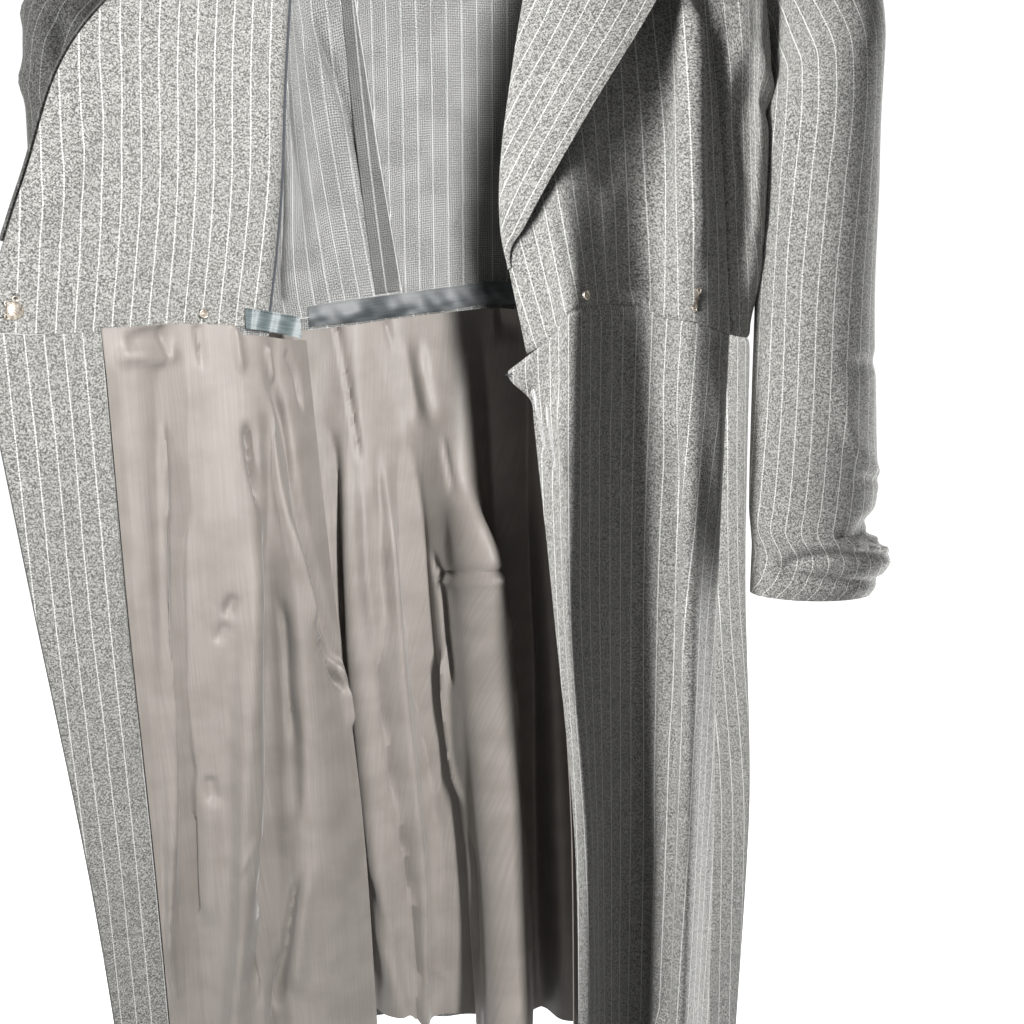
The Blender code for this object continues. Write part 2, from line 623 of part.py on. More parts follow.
def sleeve(name, side, places, table):
    """A tube from the armhole over the sleeve head and down to the turned cuff."""
    corners = bodice_at(places, [0.0])[0]
    loop = []
    for a, b, parts in zip(corners[:-1], corners[1:], ARMHOLE_PARTS):
        loop += [lerp(a, b, k / parts) for k in range(parts)]
    loop = np.array(loop)
    turns = np.arange(len(loop)) / len(loop)
    under = loop[len(loop) // 2]
    first = table[0]
    height = loop[0][2] - under[2]
    bicep = abs(first[3] - first[2])
    round_a = (1.0 + np.cos(2 * math.pi * turns)) / 2
    round_b = -np.sin(2 * math.pi * turns)
    rings = []
    for k in range(HEAD_RINGS + 1):
        s = k / (HEAD_RINGS + 1)
        turn = math.radians(90.0 * s)
        width = lerp(height, bicep, 1.0 - (1.0 - s) ** 1.4)
        blend = float(smooth(s))
        a = lerp((loop[:, 2] - under[2]) / height, round_a, blend)
        y = lerp(loop[:, 1], first[4] + round_b * first[5], blend)
        lean = (loop[:, 0] - under[0]) * side * (1.0 - blend)
        base_x = lerp(under[0] + side * 1.5, first[2], min(2.2 * s, 1.0))
        base_z = lerp(under[2], first[1], s ** 1.5)
        x = base_x + side * (math.sin(turn) * width * a + math.cos(turn) * lean)
        z = base_z + math.cos(turn) * width * a - math.sin(turn) * lean
        rings.append(np.column_stack((x, y, z)))
    for label, z, inner_x, outer_x, mid_y, half_depth in table:
        x = lerp(inner_x, outer_x, round_a)
        rings.append(np.column_stack((x, mid_y + round_b * half_depth, np.full(len(turns), float(z)))))
    outer = np.array(rings)
    wrapped = np.concatenate((outer[:, -1:], outer, outer[:, :1]), axis=1)
    out = grid_normals(wrapped)[:, 1:-1]
    middle = outer.mean(axis=1, keepdims=True)
    if np.sum(out * (outer - middle)) < 0.0:
        out = -out
    add_wall(name, outer, outer - out * WOOL, wool(name), closed=True)


def sleeves():
    sleeve("sleeve_L", 1.0, ARMHOLE_LEFT, SLEEVE_LEFT)
    sleeve("sleeve_R", -1.0, ARMHOLE_RIGHT, SLEEVE_RIGHT)


def waist_tape():
    """The satin stay over the back waist seam, half on the bodice, half on the skirt."""
    us = np.append(8.05, steps(8.5, 16.5, 0.5))
    upper = bodice_at(us, [0.972])[0]
    lower = skirt_at(us, [0.0105])[0]
    middle = waist_at(us)
    points = np.array((upper, middle, lower))
    out = np.array((normals_of(bodice_at, us, [0.972])[0], normals_of(skirt_at, us, [0.0])[0],
                    normals_of(skirt_at, us, [0.0105])[0]))
    look = material("tape satin waist_tape", "3C474A", 0.4)
    add_wall("waist_tape", points - out * 2.0, points - out * (2.0 + TAPE), look)


RIBBON = (
    # x, y, top z, bottom z
    (-196, -97.6, -389, -405),
    (-184, -88.8, -391, -407),
    (-172, -80.0, -394, -410),
    (-158, -70.0, -397, -414),
)


def ribbon_end():
    """The loose ribbon end: held at its left on the facing, free at its right."""
    rows = []
    for part in (0.0, 0.5, 1.0):
        rows.append([(x, y, lerp(top, bottom, part)) for x, y, top, bottom in RIBBON])
    points = np.array(rows, float)
    out = grid_normals(points)
    look = material("ribbon satin ribbon_end", "566669", 0.4)
    add_wall("ribbon_end", points + out * (TAPE / 2), points - out * (TAPE / 2), look)


def seat(u, v, depth):
    """A place on the bodice with its directions along the waist, up, and off the cloth."""
    point = bodice_at([u], [v])[0, 0]
    out = normals_of(bodice_at, [u], [v])[0, 0]
    off = -out if depth > 0.0 else out
    along = unit(bodice_at([u + 0.05], [v])[0, 0] - bodice_at([u - 0.05], [v])[0, 0])
    up = np.cross(out, along)
    up = up if up[2] > 0.0 else -up
    return point + off * abs(depth), unit(along), unit(up), off


def plate(name, place, outline, thickness, look):
    """A flat outline lying on the cloth, with a slightly smaller raised face."""
    point, along, up, off = place
    outline = np.array(outline, float)
    verts = []
    for share, height in ((1.0, 0.0), (1.0, thickness * 0.6), (0.86, thickness)):
        middle = outline.mean(axis=0)
        for x, y in lerp(middle, outline, share):
            verts.append(point + along * x + up * y + off * height)
    n = len(outline)
    faces = [tuple(range(n)), tuple(range(3 * n - 1, 2 * n - 1, -1))]
    for level in (0, n):
        for j in range(n):
            k = (j + 1) % n
            faces += [(level + k, level + j, level + n + j), (level + k, level + n + j, level + n + k)]
    add_solid(name, verts, faces, look)


def round_outline(radius, sides, start=0.0, end=360.0):
    angles = np.radians(np.linspace(start, end, sides, endpoint=end - start < 359.0))
    return [(radius * math.cos(a), radius * math.sin(a)) for a in angles]


def fittings():
    """Waist hook, its bar, and the two halves of the sew-on snap."""
    hook = [(x * 1.25, y) for x, y in round_outline(6.4, 11, -90.0, 90.0)]
    hook += [(-1.5, 6.4), (-4.5, 6.2), (-4.5, -6.2), (-1.5, -6.4)]
    plate("hook", seat(0.42, 0.962, FACING_DEPTH + WOOL + 0.3), hook, 1.6, metal("hook"))
    bar = [(-2.6, -8.5), (2.6, -8.5), (2.6, -5.5), (1.3, -4.5), (1.3, 4.5), (2.6, 5.5), (2.6, 8.5),
           (-2.6, 8.5), (-2.6, 5.5), (-1.3, 4.5), (-1.3, -4.5), (-2.6, -5.5)]
    plate("bar", seat(20.0, 0.955, -0.4), bar, 1.4, metal("bar"))
    snap = round_outline(3.7, 14)
    plate("snap_R", seat(3.72, 0.975, FACING_DEPTH + WOOL + 0.3), snap, 1.8, metal("snap_R"))
    plate("snap_L", seat(23.6, 0.978, -0.4), snap, 1.8, metal("snap_L"))


def main():
    for old in list(bpy.data.objects):
        bpy.data.objects.remove(old, do_unlink=True)
    bodice()
    lapels()
    collar()
    sleeves()
    skirt()
    linings()
    waist_tape()
    ribbon_end()
    fittings()


main()
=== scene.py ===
"""The long pinstripe wrap coat, dressed: fine cloth, folds, stripes, lining and fittings.

The cloth lies on the same surfaces as the CAD solids, which the tables below
give in millimetres. Folds are placed as soft ridges and troughs, by where
they show in the picture or by shares of a piece on the hidden sides.
"""
import json
import math

import bpy
import numpy as np
from mathutils import Matrix, Vector
from mathutils.kdtree import KDTree

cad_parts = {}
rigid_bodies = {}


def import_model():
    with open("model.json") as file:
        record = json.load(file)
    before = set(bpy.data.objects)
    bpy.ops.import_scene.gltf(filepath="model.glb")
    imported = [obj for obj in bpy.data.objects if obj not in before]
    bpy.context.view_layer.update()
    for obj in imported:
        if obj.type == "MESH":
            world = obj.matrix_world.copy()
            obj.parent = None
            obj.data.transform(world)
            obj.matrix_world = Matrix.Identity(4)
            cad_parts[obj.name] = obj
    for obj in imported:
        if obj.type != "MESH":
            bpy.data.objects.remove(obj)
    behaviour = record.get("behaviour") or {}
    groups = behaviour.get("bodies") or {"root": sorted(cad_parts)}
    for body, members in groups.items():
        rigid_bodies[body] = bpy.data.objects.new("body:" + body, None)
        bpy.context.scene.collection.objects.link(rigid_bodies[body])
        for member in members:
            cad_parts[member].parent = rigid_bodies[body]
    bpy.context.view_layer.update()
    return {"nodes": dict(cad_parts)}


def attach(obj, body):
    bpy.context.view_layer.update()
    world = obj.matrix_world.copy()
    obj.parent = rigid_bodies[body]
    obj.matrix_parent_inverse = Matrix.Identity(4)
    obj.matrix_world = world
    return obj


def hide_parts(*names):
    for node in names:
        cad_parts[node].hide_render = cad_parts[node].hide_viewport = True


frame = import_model()

MM = 0.001
PICTURE = 1024.0                 # the picture's width and height in pixels
FOCAL = 1108.0                   # focal length in those pixels
SENSOR = 36.0                    # width of the camera's sensor in mm
EYE = (0.013, -0.978, -0.365)    # camera place in metres
PITCH_DOWN = 12.0                # degrees the camera looks down

# Driving sizes, in millimetres, as in the CAD.
WOOL = 1.4                 # thickness of the wool cloth
SATIN = 1.0                # thickness of the satin lining
TAPE = 0.9                 # thickness of the waist tape
SEAM_TRIM = 0.15           # each dressed edge stops this far short of its seam
FACING_DEPTH = 1.8         # the facing's outer side lies this far inside the cloth
HEM_Z = -1105.0            # shell hem below the nape
LINING_HEM_Z = -1076.0     # lining hem below the nape
SHOULDER_ROUND = 7.0       # the shoulder seam is rounded down by this much
SHOULDER_REACH = 0.09      # share of a bodice line that the rounding takes
TIP_FORWARD = 0.09         # how early the cloth turns forward below the shoulder tips
LAPEL_END = 0.85           # fraction of the front edge where the lapel ends
CORNER_DROP = 13.0         # the left skirt corner hangs below the bodice edge
CORNER_REACH = 15.0        # and sticks out past it
STRIPE = 12.7              # pitch of the pinstripes
BODICE_STOPS = (0.0, 0.25, 0.5, 0.75, 1.0)    # where a bodice line's five points lie, as shares of it
SKIRT_STOPS = (0.0, 0.28, 0.64, 1.0)          # the waist, hip, knee and hem, as shares of the length
FAR = 900.0                # a limit further off than any cloth
SEAM_FADE = 16.0           # folds fade out this far from a sewn edge
SEAM_GROOVE = 1.5          # depth of the groove along a sewn edge
SEAM_REACH = 2.0           # and how far it reaches
FOLD_STEPS = 28            # points along the smooth line of a fold
SHARP_FROM = 70.0          # edges sharper than this many degrees stay sharp
EDGE_SHARES = (0.3, 0.62)  # extra rows and columns next to an edge, as shares of its first gap
CLEARANCE_GRID = (150, 60)    # points across and down a surface that another piece is kept off
BESIDE = (0.03, 0.006)     # steps to both sides of a place, for the direction out of the cloth
ACROSS_SAMPLES = 400       # places tried across a piece to space its columns
LEAST_FLAT = 10.5          # least width and height used when a sheet's size is worked out; that size is not used
LEAST_SHARE = 0.31         # and least area, as this share of its width times height


# The waist seam, from the wearer's right front edge round the back to the
# left front edge. Bodice and skirt pieces both end on it.
WAIST = (
    # name, x, y, z
    ("right_edge", -352, -215, -402),
    ("right_band", -320, -186, -405),
    ("right_facing_edge", -288, -157, -404),
    ("right_mid", -253, -130, -402),
    ("right_mid_inner", -218, -105, -403),
    ("right_front_seam", -184, -80, -403),
    ("right_side_front", -206, -58, -404),
    ("right_side", -196, -38, -403),
    ("right_side_back", -160, -32, -399),
    ("right_back", -120, -22, -395),
    ("right_princess", -80, -5, -390),
    ("right_centre_half", -40, 1, -385),
    ("centre_back", 0, 3, -380),
    ("left_centre_half", 40, 2, -384),
    ("left_princess", 80, -1, -390),
    ("left_back", 124, -5, -397),
    ("left_back_side", 170, -11, -405),
    ("left_side", 203, -28, -411),
    ("left_side_front", 208, -58, -414),
    ("left_front_seam", 187, -88, -410),
    ("left_outer_ridge", 156, -108, -400),
    ("left_slope", 134, -98, -397),
    ("left_valley", 112, -92, -388),
    ("left_rise", 84, -110, -386),
    ("left_crease", 59, -138, -390),
    ("left_edge_band", 41, -126, -411),
    ("left_edge", 24, -112, -424),
)
RIGHT_EDGE, RIGHT_FACING, RIGHT_SEAM, RIGHT_PRINCESS = 0, 2, 5, 10
LEFT_PRINCESS, LEFT_SEAM, LEFT_FACING, LEFT_EDGE = 14, 19, 24, 26

# Bodice key lines, from their top end down to the waist seam: place on the
# waist seam, the top end, and x, y a quarter, a half and three quarters down.
BODICE = (
    # name, place, top x, y, z, quarter x, y, half x, y, three quarters x, y
    ("right_roll", 0.0, -70, -58, 6, -190, -108, -291, -148, -324, -184),
    ("right_front_outer", 1.7, -90, -58, 0, -178, -95, -250, -124, -273, -148),
    ("right_front_inner", 3.4, -109, -58, -6, -166, -82, -208, -98, -222, -112),
    ("right_front_seam", 5.0, -128, -58, -12, -153, -68, -165, -73, -172, -76),
    ("right_shoulder_front", 5.3, -164, -58, -23, -170, -67, -182, -67, -188, -68),
    ("right_tip_front", 5.6, -200, -58, -34, -187, -68, -196, -63, -202, -61),
    ("right_armhole_front", 5.9, -201, -66, -98, -203, -70, -206, -62, -208, -59),
    ("right_underarm", 6.5, -213, -50, -182, -215, -44, -212, -42, -206, -42),
    ("right_armhole_low", 7.2, -203, -22, -158, -202, -20, -198, -22, -192, -28),
    ("right_armhole_back", 8.0, -188, -12, -108, -180, -7, -174, -12, -166, -22),
    ("right_tip_back", 8.7, -200, -58, -34, -162, 2, -155, -3, -144, -14),
    ("right_shoulder_back", 9.3, -162, -58, -23, -143, 8, -132, 4, -120, -6),
    ("right_princess", 10.0, -128, -58, -12, -121, 12, -109, 8, -95, 1),
    ("right_neck_back", 10.9, -70, -58, 6, -72, 12, -66, 14, -54, 8),
    ("right_neck_curve", 11.4, -50, -24, 4, -44, 10, -38, 16, -32, 9),
    ("centre_back", 12.0, 0, 0, 0, 0, 11, 0, 17, 0, 10),
    ("left_neck_curve", 12.6, 50, -24, 4, 44, 10, 38, 16, 32, 9),
    ("left_neck_back", 13.1, 70, -58, 6, 72, 12, 66, 14, 54, 8),
    ("left_princess", 14.0, 128, -58, -12, 121, 12, 109, 10, 95, 4),
    ("left_shoulder_back", 14.6, 162, -58, -23, 143, 8, 132, 6, 116, 0),
    ("left_tip_back", 15.2, 200, -58, -34, 164, 2, 155, 0, 142, -3),
    ("left_armhole_back", 15.9, 188, -12, -108, 180, -6, 174, -7, 169, -9),
    ("left_armhole_low", 16.6, 197, -24, -158, 196, -19, 192, -17, 189, -17),
    ("left_underarm", 17.6, 204, -62, -184, 205, -52, 206, -48, 207, -46),
    ("left_armhole_front", 18.4, 199, -80, -104, 200, -91, 201, -89, 201, -83),
    ("left_tip_front", 18.7, 200, -58, -34, 186, -96, 188, -90, 189, -85),
    ("left_shoulder_front", 18.9, 164, -58, -23, 172, -95, 178, -91, 182, -88),
    ("left_front_seam", 19.0, 128, -58, -12, 150, -93, 166, -92, 178, -90),
    ("left_front_ridge", 20.0, 118, -58, -9, 133, -100, 146, -106, 150, -107),
    ("left_front_valley", 22.0, 104, -58, -4, 105, -97, 110, -95, 112, -92),
    ("left_front_inner", 24.0, 88, -58, 1, 72, -96, 58, -103, 52, -118),
    ("left_roll", 26.0, 70, -58, 6, 37, -86, 15, -100, 5, -105),
)
SHOULDER_BACK = ((8.7, 10.9), (13.1, 15.2))
SHOULDER_FRONT = ((0.0, 5.6), (18.7, 26.0))

# Skirt key lines, one at each place on the waist seam: x, y at the hip, the
# knee and the hem.
SKIRT = (
    # name, hip x, y, knee x, y, hem x, y
    ("right_edge", -340, -196, -327, -166, -320, -142),
    ("right_band", -314, -171, -308, -144, -304, -126),
    ("right_facing_edge", -287, -150, -287, -131, -288, -116),
    ("right_mid", -257, -128, -262, -116, -268, -106),
    ("right_mid_inner", -226, -108, -238, -96, -248, -90),
    ("right_front_seam", -200, -88, -216, -78, -230, -72),
    ("right_side_front", -220, -62, -238, -56, -250, -48),
    ("right_side", -210, -38, -232, -30, -246, -20),
    ("right_side_back", -170, -24, -188, -14, -200, -2),
    ("right_back", -128, -10, -142, 4, -152, 18),
    ("right_princess", -88, 6, -96, 22, -104, 36),
    ("right_centre_half", -44, 12, -48, 18, -52, 22),
    ("centre_back", 0, 10, 0, 16, 0, 22),
    ("left_centre_half", 46, 16, 52, 30, 58, 44),
    ("left_princess", 92, 12, 104, 18, 114, 24),
    ("left_back", 134, 8, 150, 22, 162, 36),
    ("left_back_side", 180, -4, 194, 0, 202, 6),
    ("left_side", 209, -24, 223, -20, 224, -12),
    ("left_side_front", 213, -58, 228, -54, 226, -46),
    ("left_front_seam", 186, -87, 193, -79, 196, -72),
    ("left_outer_ridge", 160, -116, 162, -124, 162, -130),
    ("left_slope", 141, -97, 144, -96, 146, -94),
    ("left_valley", 122, -80, 127, -70, 128, -62),
    ("left_rise", 86, -108, 94, -98, 100, -92),
    ("left_crease", 58, -138, 76, -134, 80, -134),
    ("left_edge_band", 51, -130, 71, -133, 76, -135),
    ("left_edge", 45, -122, 67, -131, 72, -134),
)

# The right front lining, from the facing to its loose edge over the back.
LINING_RIGHT = (
    # name, waist x, y, z, hip x, y, knee x, y, hem x, y
    ("sewn_edge", -286, -162, -409, -285, -156, -285, -137, -286, -122),
    ("first_swell", -264, -151, -408, -268, -149, -270, -132, -274, -119),
    ("first_fold", -243, -131, -407, -255, -131, -266, -122, -272, -106),
    ("broad_swell", -214, -119, -408, -226, -131, -240, -122, -248, -112),
    ("second_swell", -186, -104, -410, -196, -120, -203, -122, -212, -112),
    ("second_fold", -177, -92, -412, -186, -100, -190, -98, -198, -92),
    ("third_swell", -168, -84, -414, -166, -98, -160, -94, -166, -88),
    ("loose_edge", -156, -62, -416, -142, -66, -122, -60, -114, -54),
)

# The back lining, from under the right front lining round to the left side.
LINING_BACK = (
    # name, waist x, y, z, hip x, y, knee x, y, hem x, y
    ("right_end", -190, -46, -411, -200, -48, -218, -42, -230, -34),
    ("right_fold", -164, -40, -409, -168, -36, -178, -26, -186, -18),
    ("first_shadow", -146, -36, -408, -142, -26, -134, -8, -130, 0),
    ("first_swell", -122, -32, -405, -121, -30, -112, -24, -104, -14),
    ("dark_fold", -84, -12, -400, -74, -2, -60, 8, -50, 14),
    ("centre_swell", -40, -8, -395, -34, -22, -18, -24, 0, -22),
    ("black_fold", -6, -4, -392, 2, 2, 14, 6, 22, 10),
    ("left_swell", 34, -10, -394, 44, -10, 58, -8, 64, 0),
    ("left_fold", 76, -8, -400, 86, 2, 98, 10, 108, 14),
    ("left_back", 122, -13, -406, 130, -4, 144, 6, 154, 18),
    ("left_back_side", 166, -20, -413, 173, -14, 187, -10, 194, -4),
    ("left_side", 194, -34, -419, 199, -32, 213, -28, 214, -22),
)

# The left front lining, from the side to the left skirt facing.
LINING_LEFT = (
    # name, waist x, y, z, hip x, y, knee x, y, hem x, y
    ("side_end", 197, -56, -419, 202, -56, 217, -52, 215, -46),
    ("front_seam", 180, -78, -416, 180, -74, 187, -68, 190, -62),
    ("outer_ridge", 154, -98, -406, 159, -103, 161, -106, 161, -112),
    ("valley", 114, -82, -394, 124, -68, 129, -58, 131, -50),
    ("rise", 84, -99, -392, 89, -94, 99, -84, 104, -78),
    ("facing_end", 63, -128, -396, 64, -128, 82, -122, 87, -120),
)

# The turned-back left lapel's free edge, by fraction of the front edge.
LAPEL_LEFT = (
    # fraction down the front edge, x, y, z
    (0.0, 136, -66, -4),
    (0.20, 148, -104, -96),
    (0.42, 117, -120, -170),
    (0.58, 73.5, -127, -240.5),
    (0.73, 34.5, -124, -306),
    (0.85, 9, -110, -353),
)
# The right lapel is turned back behind its front: width and standing room.
LAPEL_RIGHT = (
    # fraction down the front edge, width, standing room
    (0.0, 54, 6),
    (0.07, 34, 5.5),
    (0.16, 17, 5),
    (0.25, 30, 7),
    (0.42, 88, 13),
    (0.58, 70, 13),
    (0.73, 34, 9),
    (0.85, 9, 4.4),
)
# The collar's free edge, from the right lapel round the back to the left one.
COLLAR_EDGE = (
    # x, y, z
    (-136, -57, -1),
    (-108, -14, -22),
    (-58, 20, -44),
    (0, 26, -52),
    (58, 20, -44),
    (108, -14, -22),
    (136, -57, -1),
)

# Sleeves below the sleeve head: z, inner x, outer x, middle y, half depth.
SLEEVE_LEFT = (
    # name, z, inner x, outer x, middle y, half depth
    ("bicep", -232, 212, 299, -62, 60),
    ("above_elbow", -300, 215, 302, -62, 55),
    ("elbow", -384, 216.5, 305, -62, 50),
    ("forearm", -480, 217, 313, -64, 44),
    ("shadow_fold", -552, 217, 317.5, -67, 37),
    ("cuff_turn", -568, 216.5, 316.5, -68, 36),
    ("cuff_swell", -594, 216, 330.5, -68, 34),
    ("cuff_low", -612, 216, 328, -68, 32),
    ("hem", -628, 216, 318, -68, 29),
)
SLEEVE_RIGHT = (
    # name, z, inner x, outer x, middle y, half depth
    ("bicep", -240, -270, -357, -76, 56),
    ("above_elbow", -304, -272, -358, -79, 53),
    ("elbow", -386, -268, -356, -82, 48),
    ("forearm", -482, -262, -350, -82, 43),
    ("shadow_fold", -552, -258, -347, -80, 37),
    ("cuff_turn", -568, -257, -347, -80, 36),
    ("cuff_swell", -594, -256, -350, -80, 35),
    ("cuff_low", -612, -256, -351, -80, 33),
    ("hem", -628, -257, -349, -80, 30),
)

